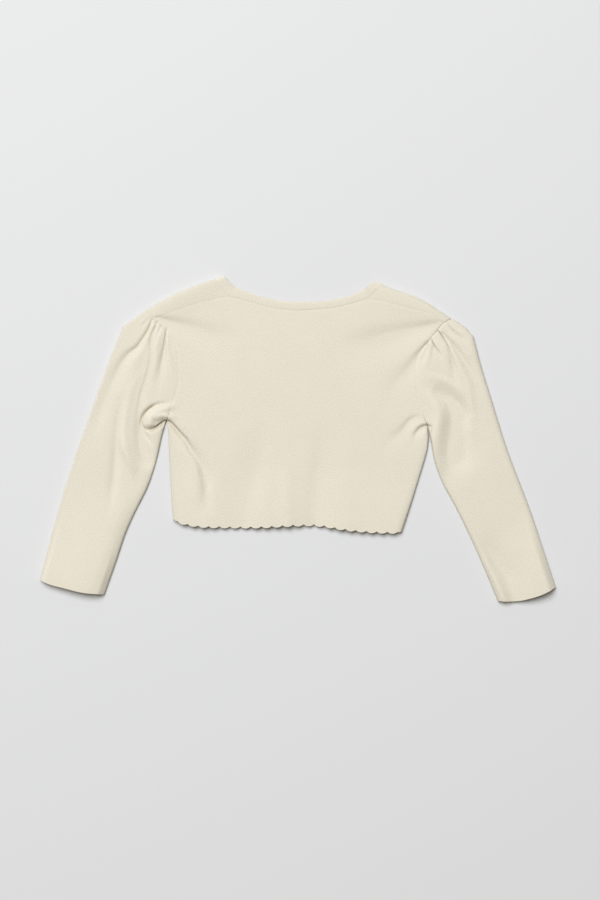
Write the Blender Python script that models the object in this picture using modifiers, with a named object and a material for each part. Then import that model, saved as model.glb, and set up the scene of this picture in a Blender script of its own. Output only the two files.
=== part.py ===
"""A child's short knitted cardigan, laid out flat on its face, at its real size.

X runs across the shoulders, Y from the hem to the neck, Z up, and the origin is under the middle.
The back panel is on top. "Left" and "right" are the wearer's: as the garment lies on its face,
the left sleeve is at -X. Tables are in millimetres, meshes in metres.

Each panel is a wall of cloth: a grid of points through the middle of the knit, filled in between
four seam or edge lines, raised by the table of creases and thickened by Solidify.
"""
from collections import namedtuple

import bmesh
import bpy
import numpy as np

MM = 0.001
ORIGIN = np.array([-0.17, 0.93, 0.0])   # the middle of the outline, in the tables

# The cloth.
WALL = 1.2                 # thickness of the knit
BAND_WALL = 1.7            # thickness of the double band
BAND_WIDTH = 7.9
SEAM_GAP = 0.3             # clear space where two pieces are joined
BAND_SETTLING = 15.0       # length in which the band takes its width below the shoulder fold

# How the two layers lie.
LOWER = WALL / 2           # height of the middle of the lower layer
UPPER = 3.1                # the same for the upper layer, where it lies flat
FOLDED_EDGE = (LOWER + UPPER) / 2
ROLL = 1.3                 # radius in which a folded edge rounds over
ROLL_STOP = 0.29           # place of the point between its two ends, as a share
LOWEST, HIGHEST = 2.35, 5.6   # limits for the middle of the upper layer
LIFT = 1.2                 # how far the hem and the cuffs stand off the layer below
LIFT_LENGTH = 16.0
UNDERARM_ROLL = 4.6        # the wider radius at the underarm, where four walls come together
UNDERARM_REACH = 5.0       # how far that is felt down the folds
FOLD_LEAN = 0.3            # extra gap where the armhole crosses the shoulder fold at a slant
FOLD_LEAN_LENGTH = 2.6     # how far down the armhole that is felt
UNDERARM_CALM = 9.0        # radius round it in which the creases fade out
SIDE_SEAM_GAP = 1.0        # between the middles of the walls; their corners are then 0.3 apart
NECK_SAG = 2.5             # how far the back sinks into the opening of the front's neck
SAG_START, SAG_LENGTH = 10.0, 20.0   # distances from the front's neckline
NECK_BOTTOM = 75.0         # the front edges above this height are the neckline
WELD = 1e-6                # in metres: closer points are made one

# The scalloped hem.
SCALLOPS = 21              # whole scallops across the back
FRONT_SCALLOPS = 10
SCALLOP_DEPTH = 2.1
FIRST_CUSP, LAST_CUSP = 5.6, 4.3   # from the back's corners to its outermost cusps
SCALLOP_CUTS = 3           # points along each scallop

# Cells of the grids.
SIDE_CELLS = 9             # hem to underarm
ARMHOLE_CELLS = 11
SHOULDER_CELLS = 5
NECK_CELLS = 13
SLEEVE_CELLS = 19
SEAM_LANDING = 1.3         # width along an armhole in which a sleeve stays level with the seam
RING_REACH = 150.0         # how far down a sleeve the curve of its armhole is felt
GATHERED_CELLS = 4         # armhole cells that hold the gathers of the sleeve cap
GATHER_FINENESS = 4        # ring points to each of those cells
PLAIN_FINENESS = 2         # ring points to each of the others
SECTION_POWER = 1.25       # crowds the sleeve's sections towards its cap
JOIN_BELOW_FOLD = 3        # cells from the right shoulder fold to the hidden join of the band
STRIP_ROWS = 4             # rows of a front's strip between the shoulder fold and its seam

# Each line is a table of x, y. Both pieces at a seam are made from the same line.
Side = namedtuple("Side", "name side_fold armhole_back armhole_front outer_fold inner_fold "
                          "cuff shoulder_seam shoulder_fold front_edge front_hem band_fold")

LEFT = Side(
    name="left",
    side_fold=[(-131.2, -83.0), (-132.8, -58.3), (-134.4, -32.0), (-135.7, -0.5), (-136.2, 12.0),
               (-137.8, 20.5)],
    armhole_back=[(-149.6, 127.3), (-138.3, 115.0), (-132.7, 106.6), (-128.3, 98.7),
                  (-126.0, 86.6), (-125.6, 69.8), (-126.6, 54.1), (-130.7, 41.5), (-137.8, 20.5)],
    armhole_front=[(-159.1, 136.0), (-141.8, 119.2), (-128.1, 99.2), (-120.8, 77.2),
                   (-120.2, 56.2), (-126.0, 36.2), (-137.8, 20.5)],
    outer_fold=[(-159.1, 136.0), (-165.5, 131.2), (-172.0, 126.4), (-182.6, 119.3), (-185.0, 116.4),
                (-187.0, 109.8), (-192.6, 96.1), (-215.8, 33.1), (-249.4, -67.7), (-263.0, -118.1),
                (-270.7, -146.8)],
    inner_fold=[(-137.8, 20.5), (-141.8, 7.9), (-148.6, -21.5), (-157.5, -48.8), (-170.1, -74.0),
                (-178.5, -91.9), (-191.6, -129.7), (-203.2, -162.4)],
    cuff=[(-270.7, -146.8), (-263.0, -150.5), (-244.7, -155.6), (-226.2, -160.1), (-203.2, -162.4)],
    shoulder_seam=[(-149.6, 127.3), (-121.5, 137.3), (-107.4, 142.3), (-94.7, 145.7),
                   (-73.5, 150.0)],
    shoulder_fold=[(-159.1, 136.0), (-140.7, 146.5), (-128.1, 152.8), (-98.7, 164.3),
                   (-86.6, 168.3)],
    front_edge=[(-19.6, -87.0), (-14.0, -0.5), (-12.4, 26.0), (-11.4, 48.0), (-12.0, 58.0),
                (-14.6, 69.0), (-22.0, 78.8), (-37.8, 86.6), (-58.8, 101.3), (-74.6, 123.4),
                (-83.0, 146.5), (-86.6, 168.3)],
    front_hem=[(-131.2, -83.0), (-100.0, -87.2), (-60.0, -87.9), (-19.6, -87.0)],
    band_fold=(-79.0, 171.5),
)
RIGHT = Side(
    name="right",
    side_fold=[(108.8, -96.6), (119.9, -62.9), (127.1, -39.4), (133.6, -17.9), (137.0, -3.0),
               (135.7, 14.7)],
    armhole_back=[(152.0, 122.0), (147.5, 115.7), (138.6, 105.5), (124.7, 86.1), (123.1, 74.0),
                  (123.9, 57.2), (126.8, 39.4), (131.6, 24.7), (135.7, 14.7)],
    armhole_front=[(160.2, 127.3), (144.9, 110.8), (131.2, 91.9), (121.3, 70.9), (118.7, 49.9),
                   (122.9, 31.0), (135.7, 14.7)],
    outer_fold=[(160.2, 127.3), (171.2, 121.3), (178.5, 115.0), (184.3, 107.6), (188.0, 91.9),
                (203.7, 39.4), (217.4, -4.7), (245.7, -80.3), (258.3, -118.1), (270.4, -154.6)],
    inner_fold=[(135.7, 14.7), (139.6, -3.0), (141.8, -17.3), (150.2, -42.5), (163.8, -67.7),
                (188.0, -118.1), (209.4, -169.0)],
    cuff=[(270.4, -154.6), (254.8, -162.6), (243.6, -166.4), (232.7, -169.1), (221.6, -169.8),
          (209.4, -169.0)],
    shoulder_seam=[(152.0, 122.0), (138.6, 131.5), (123.9, 135.8), (107.1, 140.4), (88.6, 145.0),
                   (72.5, 147.3)],
    shoulder_fold=[(160.2, 127.3), (150.2, 133.9), (130.2, 146.5), (96.6, 159.1), (88.2, 162.6)],
    front_edge=[(-2.2, -87.0), (3.4, -0.5), (5.0, 26.0), (6.3, 48.0), (7.3, 58.0), (10.2, 67.6),
                (19.4, 77.2), (37.8, 85.1), (60.9, 99.2), (76.7, 120.2), (85.1, 142.3),
                (88.2, 162.6)],
    front_hem=[(108.8, -96.6), (80.0, -93.4), (40.0, -89.4), (-2.2, -87.0)],
    band_fold=(80.4, 166.4),
)
BACK_HEM = [(-131.2, -83.0), (-125.6, -85.6), (-104.2, -90.1), (-81.2, -90.9), (-36.1, -90.9),
            (-3.2, -89.1), (18.2, -88.9), (50.4, -93.7), (83.9, -96.4), (108.8, -96.6)]
BACK_NECK = [(-73.5, 150.0), (-58.8, 147.1), (-44.1, 142.3), (-27.9, 138.4), (-11.9, 136.0),
             (4.2, 135.7), (17.9, 136.4), (42.0, 139.1), (57.8, 143.3), (72.5, 147.3)]
BAND_EDGE = [(-66.8, 159.4), (-49.4, 153.1), (-35.7, 149.1), (-17.2, 144.7), (1.6, 144.0),
             (24.2, 144.4), (37.8, 146.5), (51.1, 149.6), (64.5, 154.5), (71.2, 159.0)]

# Creases of the upper layer: from x0, y0 to x1, y1, bowed to the left of that way, with the height
# (below zero a trough) and the half width at each end.
Crease = namedtuple("Crease", "x0 y0 x1 y1 bow height0 height1 width0 width1")
CREASES = [
    # Gathers of the left cap.
    Crease(-151.9, 123.1, -174.4, 95.5, 2.4, -1.7, -1.5, 2.2, 3.4),
    Crease(-174.4, 95.5, -199.8, 49.4, -3.2, -1.5, -0.5, 3.6, 6.0),
    Crease(-199.8, 49.4, -216.8, 3.2, 0.0, -0.5, -0.2, 6.0, 7.0),
    Crease(-150.2, 115.0, -157.5, 104.5, 0.0, 0.8, 0.9, 2.0, 3.0),
    Crease(-148.9, 120.9, -154.9, 117.1, 0.0, -0.9, -0.4, 1.6, 2.0),
    Crease(-153.0, 109.7, -165.7, 49.4, 3.6, -0.9, -0.3, 2.2, 4.0),
    Crease(-142.0, 118.5, -147.4, 109.7, 0.0, -1.1, -0.4, 1.7, 2.2),
    Crease(-138.7, 113.9, -143.8, 76.1, 0.0, -1.8, -0.7, 2.1, 4.5),
    Crease(-143.8, 76.1, -147.0, 49.9, 0.0, -0.7, -0.2, 5.0, 7.0),
    Crease(-136.0, 104.5, -138.1, 77.2, 0.0, 0.6, 0.5, 2.2, 4.0),
    # Soft folds down the left sleeve.
    Crease(-159.6, 97.1, -178.5, 20.5, -3.0, 0.7, 0.8, 5.0, 7.0),
    Crease(-178.5, 20.5, -185.8, -27.8, 0.0, 0.8, 0.2, 7.0, 8.0),
    Crease(-190.7, 16.3, -198.5, -53.0, 0.0, -0.7, -0.3, 6.0, 7.0),
    Crease(-170.1, -4.7, -167.0, -44.6, 0.0, -0.8, -0.2, 5.0, 6.0),
    # The curl at the left underarm.
    Crease(-136.5, 40.4, -162.9, 23.6, -5.1, -1.2, -2.0, 2.2, 2.6),
    Crease(-162.9, 23.6, -159.6, 2.2, -1.7, -2.0, -1.3, 2.6, 3.4),
    Crease(-159.6, 2.2, -151.2, -8.9, 0.0, -1.3, -0.3, 3.2, 4.0),
    Crease(-133.3, 39.9, -157.5, 23.1, 0.0, 1.6, 2.2, 3.0, 3.2),
    Crease(-136.5, 21.5, -149.1, 16.3, -3.0, -1.3, -2.2, 2.4, 2.4),
    Crease(-149.1, 15.8, -161.2, 17.9, 4.2, -2.2, -1.6, 2.3, 2.2),
    Crease(-144.4, 8.9, -149.1, -7.9, 0.0, -0.7, -0.5, 5.0, 5.0),
    # The crease from that underarm down the back.
    Crease(-135.8, 22.3, -116.3, 0.8, 1.7, -1.6, -1.4, 2.2, 2.4),
    Crease(-116.3, 0.8, -104.3, -31.3, 2.9, -1.4, -0.4, 2.5, 4.0),
    Crease(-104.3, -31.3, -99.8, -63.5, 0.0, -0.4, -0.2, 4.5, 6.0),
    # Gathers of the right cap.
    Crease(147.9, 112.9, 156.8, 96.7, 2.1, -1.7, -1.5, 2.0, 2.4),
    Crease(156.8, 96.7, 164.5, 64.6, 0.5, -1.5, -0.5, 2.6, 4.0),
    Crease(154.9, 104.0, 175.3, 62.5, 0.0, 1.1, 0.8, 2.3, 4.0),
    Crease(149.5, 112.2, 165.2, 93.6, 0.0, -1.2, -1.1, 2.0, 2.4),
    Crease(165.2, 93.6, 183.8, 56.2, 3.0, -1.1, -0.4, 3.0, 5.0),
    Crease(155.9, 122.5, 177.2, 99.6, 0.5, -0.9, -0.5, 1.8, 3.0),
    Crease(141.0, 104.5, 148.6, 90.3, 0.0, -1.3, -0.5, 1.7, 2.4),
    Crease(139.2, 100.3, 142.3, 86.6, 0.0, -0.7, -0.3, 1.5, 2.2),
    Crease(137.6, 99.2, 131.2, 80.9, 0.0, -1.2, -0.4, 1.7, 2.6),
    # Soft folds down the right sleeve.
    Crease(175.3, 62.5, 185.0, 5.8, 1.0, 0.8, 0.7, 4.5, 7.0),
    Crease(185.0, 5.8, 188.0, -32.0, 0.0, 0.7, 0.1, 7.0, 8.0),
    Crease(147.0, 56.2, 172.2, 37.3, 0.0, -1.0, -0.7, 4.5, 5.5),
    Crease(150.2, 54.1, 159.1, 28.9, -1.0, -0.9, -1.6, 4.0, 3.6),
    Crease(159.1, 28.9, 153.8, 7.9, 0.5, -1.7, -1.2, 3.5, 4.5),
    Crease(153.8, 7.9, 147.0, -21.5, 0.0, -1.2, -0.5, 5.0, 6.0),
    Crease(132.3, 56.2, 147.0, 22.6, 0.0, 0.6, 0.8, 5.0, 5.0),
    Crease(191.1, -0.5, 200.6, -65.6, 0.0, -0.4, -0.4, 6.0, 7.0),
    Crease(185.5, -106.3, 214.2, -167.5, 0.0, -0.7, -1.2, 1.8, 1.6),
    # Beside the right armhole and under it.
    Crease(136.2, 100.8, 118.1, 86.4, 0.0, -1.3, -1.4, 2.2, 2.6),
    Crease(118.1, 86.4, 98.7, 57.2, 0.0, -1.3, -0.4, 3.0, 7.0),
    Crease(124.4, 86.6, 120.2, 66.7, 0.0, 0.4, 0.5, 2.5, 4.0),
    Crease(120.5, 1.6, 129.7, 13.7, 1.6, -1.2, -1.8, 2.3, 2.0),
    Crease(129.7, 13.7, 135.7, 14.0, 0.8, -1.8, -1.6, 2.0, 1.8),
    Crease(120.5, 21.2, 112.1, 9.2, 0.0, -0.8, -0.6, 2.6, 3.4),
    Crease(123.9, -6.8, 132.8, 6.8, 1.6, 0.5, 0.9, 3.0, 2.6),
    # Soft troughs from the shoulders, and the waves of the hem.
    Crease(-144.9, 127.3, -111.3, 119.2, 1.3, -0.9, -1.1, 2.8, 5.0),
    Crease(-111.3, 119.2, -59.9, 109.7, 0.0, -1.1, -0.3, 5.0, 9.0),
    Crease(146.0, 125.0, 113.4, 119.2, -1.1, -0.5, -1.1, 3.5, 5.0),
    Crease(113.4, 119.2, 58.8, 103.4, 0.0, -1.1, -0.3, 5.0, 9.0),
    Crease(-68.2, 3.7, -73.5, -82.4, 0.0, -0.3, -0.9, 9.0, 11.0),
    Crease(-31.5, -6.8, -30.5, -88.7, 0.0, 0.2, 0.6, 9.0, 11.0),
    Crease(8.4, -11.0, 2.1, -88.7, 0.0, -0.2, -0.9, 8.0, 10.0),
    Crease(51.5, -21.5, 56.7, -92.9, 0.0, 0.1, 0.5, 10.0, 14.0),
]
CREASE_PIECES = 8          # straight pieces that stand for one bowed crease

# How far the upper half of a sleeve stands off the lower half along its middle.
Loft = namedtuple("Loft", "along height")
SLEEVE_LOFT = [Loft(0.0, 0.0), Loft(0.06, 1.3), Loft(0.15, 1.7), Loft(0.35, 1.2), Loft(0.7, 0.8),
               Loft(1.0, 0.7)]
LOFT_FULLNESS = 0.6        # below 1 the loft is broad, with steep sides

CLOTH_COLOR = (0.78, 0.74, 0.63, 1.0)
CLOTH_ROUGHNESS = 0.95


# ---- Lines -------------------------------------------------------------------------------------

def smooth(points, steps=12):
    """A dense smooth line through a table of points."""
    knots = np.array(points, float)
    spans = np.diff(knots, axis=0)
    lengths = np.linalg.norm(spans, axis=1)[:, None]
    slopes = spans / lengths
    middle = (slopes[:-1] * lengths[1:] + slopes[1:] * lengths[:-1]) / (lengths[:-1] + lengths[1:])
    tangents = np.vstack([slopes[:1], middle, slopes[-1:]])
    t = np.linspace(0.0, 1.0, steps, endpoint=False)[:, None]
    pieces = []
    for a, b, slope_a, slope_b, length in zip(knots, knots[1:], tangents, tangents[1:], lengths):
        pieces.append((2 * t**3 - 3 * t**2 + 1) * a + (3 * t**2 - 2 * t**3) * b
                      + (t**3 - 2 * t**2 + t) * length * slope_a + (t**3 - t**2) * length * slope_b)
    return np.vstack(pieces + [knots[-1:]])


def distances(line):
    """Each point's distance along the line."""
    steps = np.linalg.norm(np.diff(line, axis=0), axis=1)
    return np.concatenate([[0.0], np.cumsum(steps)])


def at(line, places):
    """Points at the given distances along a line."""
    along = distances(line)
    return np.stack([np.interp(places, along, line[:, k]) for k in range(line.shape[1])], axis=1)


def divided(line, cells, first=0.0, last=0.0):
    """Cut a line into even cells, with finer ones in the lengths where an end rounds over."""
    whole = distances(line)[-1]
    start = WALL / 2 + first if first else 0.0
    stop = WALL / 2 + last if last else 0.0
    places = list(np.linspace(start, whole - stop, cells + 1))
    if first:
        places = [0.0, WALL / 2 + ROLL_STOP * first] + places
    if last:
        places += [whole - WALL / 2 - ROLL_STOP * last, whole]
    return at(line, places)


def chain(*lines):
    """Join lines end to end."""
    return np.vstack([lines[0]] + [line[1:] for line in lines[1:]])


def unit(vectors):
    return vectors / np.linalg.norm(vectors, axis=-1)[..., None]


def sideways(line):
    """Unit vectors to the left of the line at each point."""
    run = unit(np.gradient(line, axis=0))
    return np.stack([-run[:, 1], run[:, 0]], axis=1)


def nearest(points, line):
    """Distance from each point to a line, and the place of the nearest spot, from 0 to 1."""
    best = np.full(points.shape[:-1], np.inf)
    place = np.zeros(points.shape[:-1])
    for i, (a, b) in enumerate(zip(line, line[1:])):
        share = np.clip(((points - a) @ (b - a)) / ((b - a) @ (b - a)), 0.0, 1.0)
        gap = np.linalg.norm(points - a - share[..., None] * (b - a), axis=-1)
        closer = gap < best
        best = np.where(closer, gap, best)
        place = np.where(closer, (i + share) / (len(line) - 1), place)
    return best, place


# ---- Surfaces ----------------------------------------------------------------------------------

def fill(first, last, start, end, gaps):
    """Fill in points between four lines that share corners (a Coons patch).

    Rows run from the line first to the line last, and each row from start to end. The gaps
    (for first, last, start and end) draw the lines in from the seams and folds they stand for.
    """
    lines = [first, last, start, end]
    loop = np.vstack([first, end, last[::-1], start[::-1]])
    x, y = loop[:, 0], loop[:, 1]
    turn = np.sign(np.sum(x * np.roll(y, -1) - y * np.roll(x, -1)))
    moves = []
    for line, sign, gap in zip(lines, (1, -1, -1, 1), gaps):
        moves.append(turn * sign * np.broadcast_to(gap, len(line))[:, None] * sideways(line))
    for a, b, i, j in ((0, 2, 0, 0), (0, 3, -1, 0), (1, 2, 0, -1), (1, 3, -1, -1)):
        moves[a][i] = moves[b][j] = moves[a][i] + moves[b][j]
    u = (distances(first) / distances(first)[-1] + distances(last) / distances(last)[-1]) / 2
    v = (distances(start) / distances(start)[-1] + distances(end) / distances(end)[-1]) / 2
    u, v = u[None, :, None], v[:, None, None]
    first, last, start, end = (line + move for line, move in zip(lines, moves))
    across = (1 - v) * first[None] + v * last[None]
    along = (1 - u) * start[:, None] + u * end[:, None]
    corners = ((1 - v) * ((1 - u) * first[0] + u * first[-1])
               + v * ((1 - u) * last[0] + u * last[-1]))
    return across + along - corners


def inward(edge, towards):
    """Unit vectors square to a line, on the side of the given points."""
    across = sideways(edge)
    return across * np.sign(np.sum(across * (towards - edge), axis=1))[:, None]


def radius(points, underarm=None):
    """The radius of a folded edge, which is wider at the underarm."""
    if underarm is None:
        return ROLL
    apart = np.linalg.norm(points - underarm, axis=-1)
    return ROLL + (UNDERARM_ROLL - ROLL) * np.exp(-(apart / UNDERARM_REACH) ** 2)


def square_up(points, underarm=None):
    """Set the fine columns beside a folded start at right angles to it."""
    edge = points[:, 0]
    reach = np.array(radius(edge, underarm))[..., None] * inward(edge, points[:, -1])
    points[1:-1, 1] = (edge + ROLL_STOP * reach)[1:-1]
    points[1:-1, 2] = (edge + reach)[1:-1]


def rounding(points, fold, underarm=None):
    """0 on a fold line, and 1 once the layer is clear of its rounding."""
    share = np.clip(nearest(points, fold)[0] / radius(points, underarm), 0.0, 1.0)
    return np.sqrt(1.0 - (1.0 - share) ** 2)


def relief(points):
    """Sum of the creases at flat points."""
    total = np.zeros(points.shape[:-1])
    for crease in CREASES:
        start = np.array([crease.x0, crease.y0])
        run = np.array([crease.x1, crease.y1]) - start
        side = unit(np.array([-run[1], run[0]]))
        t = np.linspace(0.0, 1.0, CREASE_PIECES + 1)[:, None]
        gap, place = nearest(points, start + t * run + 4 * crease.bow * t * (1 - t) * side)
        height = crease.height0 + place * (crease.height1 - crease.height0)
        width = crease.width0 + place * (crease.width1 - crease.width0)
        total += height * np.exp(-(gap / width) ** 2)
    for side in (LEFT, RIGHT):
        apart = np.linalg.norm(points - np.array(side.side_fold[-1]), axis=-1)
        total *= 1.0 - np.exp(-(apart / UNDERARM_CALM) ** 2)
    return total


def upper_level(points, lift=0.0):
    """Height of the middle of the upper layer."""
    level = np.clip(UPPER + relief(points) + lift, LOWEST, HIGHEST)
    neckline = np.array([p for p in LEFT.front_edge[::-1] + RIGHT.front_edge if p[1] > NECK_BOTTOM])
    inside = points[..., 1] > np.interp(points[..., 0], neckline[:, 0], neckline[:, 1])
    share = np.clip((nearest(points, neckline)[0] - SAG_START) / SAG_LENGTH, 0.0, 1.0) * inside
    return np.maximum(level - NECK_SAG * ease(share), np.minimum(level, LOWER))


def ease(share):
    """A smooth step from 0 to 1."""
    return share ** 2 * (3 - 2 * share)


def lifted(distance):
    """The rise of a free edge, at a distance from it."""
    return LIFT * ease(np.clip(1.0 - distance / LIFT_LENGTH, 0.0, 1.0))


def between(low, high, share):
    return low + (high - low) * share


def raised(points, heights):
    return np.concatenate([points, heights[..., None]], axis=-1)


# ---- Meshes ------------------------------------------------------------------------------------

def cloth(collection, name, points, wall=WALL, scallops=()):
    """Make a wall of cloth through rows of points; a row that ends where it began is a tube.

    scallops gives, for each cell of the first row, how far its edge bulges out.
    """
    rows, columns = points.shape[:2]
    bm = bmesh.new()
    bmesh.ops.create_grid(bm, x_segments=columns - 1, y_segments=rows - 1, size=1.0)
    bm.verts.ensure_lookup_table()
    for vert, point in zip(bm.verts, points.reshape(-1, 3)):
        vert.co = (point - ORIGIN) * MM
    hem = [bm.edges.get((bm.verts[i], bm.verts[i + 1])) for i in range(len(scallops))]
    for edge, depth, into_cloth in zip(hem, scallops, points[1] - points[0]):
        if depth > 0.0:
            scallop(bm, edge, depth, into_cloth)
    bmesh.ops.remove_doubles(bm, verts=bm.verts, dist=WELD)
    mesh = bpy.data.meshes.new(name)
    bm.to_mesh(mesh)
    bm.free()
    mesh.shade_smooth()
    mesh.materials.append(knit_material(name))
    piece = bpy.data.objects.new(name, mesh)
    collection.objects.link(piece)
    solidify = piece.modifiers.new("wall", "SOLIDIFY")
    solidify.thickness = wall * MM
    solidify.offset = 0.0
    return piece


def scallop(bm, edge, depth, into_cloth):
    """Bulge one edge of the hem outwards in an arc."""
    a, b = (vert.co.copy() for vert in edge.verts)
    out = (b - a).normalized().cross((0.0, 0.0, 1.0))
    if out.dot(into_cloth) > 0:
        out = -out
    made = bmesh.ops.subdivide_edges(bm, edges=[edge], cuts=SCALLOP_CUTS)
    for vert in made["geom_inner"]:
        if isinstance(vert, bmesh.types.BMVert):
            t = (vert.co - a).length / (b - a).length
            vert.co += out * (4 * depth * t * (1 - t) * MM)


def knit_material(name):
    material = bpy.data.materials.new(name + "_knit")
    material.use_nodes = True
    shader = material.node_tree.nodes["Principled BSDF"]
    shader.inputs["Base Color"].default_value = CLOTH_COLOR
    shader.inputs["Roughness"].default_value = CLOTH_ROUGHNESS
    shader.inputs["Metallic"].default_value = 0.0
    return material


# ---- Seam lines that two pieces share ----------------------------------------------------------

def side_seam(side):
    """From the hem to the underarm."""
    return divided(smooth(side.side_fold), SIDE_CELLS)


def back_armhole(side):
    """From the underarm to the shoulder seam."""
    return divided(smooth(side.armhole_back)[::-1], ARMHOLE_CELLS, first=UNDERARM_ROLL)


def front_armhole(side):
    """From the underarm to the shoulder fold."""
    return divided(smooth(side.armhole_front)[::-1], ARMHOLE_CELLS - 1, first=UNDERARM_ROLL,
                   last=ROLL)


def shoulder_seam(side):
    """From the armhole to the neck."""
    return divided(smooth(side.shoulder_seam), SHOULDER_CELLS, first=ROLL)


def armhole_gap(line):
    """Half the gap along an armhole: wider at the underarm, where the walls turn side by side."""
    gap = SEAM_GAP / 2 + WALL / 2 * np.exp(-distances(line) / UNDERARM_ROLL)
    gap[0] = SEAM_GAP / 2
    return gap


def side_and_armhole_gap(seam, armhole):
    """The same from the hem to the shoulder, where the side's fold is half a wall further in."""
    gap = np.concatenate([np.full(len(seam) - 1, WALL / 2), armhole_gap(armhole)])
    gap[len(seam) - 1] += WALL / 2
    return gap


# ---- Pieces ------------------------------------------------------------------------------------

def make_back(collection):
    hem_line = smooth(BACK_HEM)
    hem_length = distances(hem_line)[-1]
    cusps = np.linspace(FIRST_CUSP, hem_length - LAST_CUSP, SCALLOPS + 1)
    roll = [0.0, WALL / 2 + ROLL_STOP * ROLL, WALL / 2 + ROLL]
    places = np.concatenate([roll, cusps, [hem_length - place for place in reversed(roll)]])
    hem = at(hem_line, places)
    top = chain(shoulder_seam(LEFT), divided(smooth(BACK_NECK), NECK_CELLS),
                shoulder_seam(RIGHT)[::-1])
    seams = [(side_seam(side), back_armhole(side)) for side in (LEFT, RIGHT)]
    gaps = [side_and_armhole_gap(*seam) for seam in seams]
    left, right = (chain(*seam) for seam in seams)
    points = fill(hem, top, left, right, (0.0, SEAM_GAP / 2, *gaps))
    heights = upper_level(points, lifted(distances(left))[:, None])
    for half, levels in ((points, heights), (points[:, ::-1], heights[:, ::-1])):
        square_up(half)
        fold = half[:SIDE_CELLS + 1, 0]
        turn = rounding(half, fold, underarm=fold[-1])
        levels[:] = between(FOLDED_EDGE + SIDE_SEAM_GAP / 2, levels, turn)
        levels[SIDE_CELLS + 1:, 1:3] = levels[SIDE_CELLS + 1:, :1]
    depths = SCALLOP_DEPTH * np.diff(places) / np.diff(cusps)[0]
    depths[:2] = depths[-2:] = 0.0
    return cloth(collection, "back_panel", raised(points, heights), scallops=depths)


def front_points(side):
    """Rows from the hem under the garment to the shoulder fold, and over it to the seam."""
    hem = divided(smooth(side.front_hem), FRONT_SCALLOPS, first=ROLL)
    fold = divided(smooth(side.shoulder_fold), FRONT_SCALLOPS, first=ROLL)
    seams = side_seam(side), front_armhole(side)
    outer = chain(*seams)
    half_gap = SEAM_GAP / 2
    gaps = (0.0, WALL / 2, side_and_armhole_gap(*seams), half_gap)
    lower = fill(hem, fold, outer, front_edge(side), gaps)
    square_up(lower)
    square_up(lower[::-1].transpose(1, 0, 2))
    side_fold = lower[:SIDE_CELLS + 1, 0]
    heights = between(FOLDED_EDGE - SIDE_SEAM_GAP / 2, LOWER,
                      rounding(lower, side_fold, underarm=side_fold[-1]))
    heights = between(FOLDED_EDGE, heights, rounding(lower, lower[-1]))

    # The strip between the fold and the seam on the back. It begins over the lower layer's
    # last rows, and its ends follow the armhole and the neck.
    fold = lower[-1]
    seam = divided(shoulder_seam(side), FRONT_SCALLOPS, first=ROLL)
    seam = seam + half_gap * unit(fold - seam)
    seam[0] += half_gap * unit(seam[1] - seam[0])
    seam[-1] -= half_gap * unit(seam[-1] - seam[-2])
    rows = []
    for row, share in ((-2, ROLL_STOP), (-3, 1.0)):
        rows.append(lower[row].copy())
        for column in (0, -1):
            rows[-1][column] = fold[column] + share * ROLL * unit(seam[column] - fold[column])
    rows += [(rows[-1] + seam) / 2, seam]
    upper = np.array(rows)
    upper_heights = between(FOLDED_EDGE, upper_level(upper), rounding(upper, fold))
    return np.vstack([raised(lower, heights), raised(upper, upper_heights)])


def make_front(collection, side):
    depths = [0.0] * 2 + [SCALLOP_DEPTH] * FRONT_SCALLOPS
    return cloth(collection, "front_" + side.name, front_points(side), scallops=depths)


def sleeve_half(ring, cuff, outer, inner):
    """Rows across one half of a sleeve, from its armhole to the cuff.

    Each row is a straight section between the folds, bent near the armhole towards its curve.
    """
    quarter = len(outer) // 4
    middle = (outer[quarter] + inner[quarter]) / 2
    outer_move = WALL / 2 * inward(outer, inner)
    inner_move = WALL / 2 * inward(inner, outer)
    gap = armhole_gap(ring[::-1])[::-1]
    gap[1:] += FOLD_LEAN * np.exp(-distances(ring)[1:] / FOLD_LEAN_LENGTH)
    ring = ring + gap[:, None] * inward(ring, middle)
    ring[0] += outer_move[0]
    ring[-1] += inner_move[0]
    cuff = cuff.copy()
    cuff[0] += outer_move[-1]
    cuff[-1] += inner_move[-1]
    outer = np.vstack([ring[:1], (outer + outer_move)[1:]])
    inner = np.vstack([ring[-1:], (inner + inner_move)[1:]])

    down = distances(inner)[:, None]
    along = down / down[-1]
    share_ring, share_cuff = (distances(line) / distances(line)[-1] for line in (ring, cuff))
    share = between(share_ring, share_cuff, along)[..., None]
    sections = between(outer[:, None], inner[:, None], share)
    felt = np.exp(-down / (1.0 + RING_REACH * (1.0 - share_ring) ** 2)) * (1.0 - along)
    points = (sections + felt[..., None] * (ring - sections[0])
              + along[..., None] * (cuff - sections[-1]))
    square_up(points)
    square_up(points[:, ::-1], underarm=ring[-1])
    landing = ring + SEAM_LANDING * inward(ring, middle)
    for column, fold in ((0, outer), (-1, inner)):
        landing[column] = ring[column] + SEAM_LANDING * unit(fold[1] - fold[0])
    return np.vstack([points[:1], landing[None], points[1:]])


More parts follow.
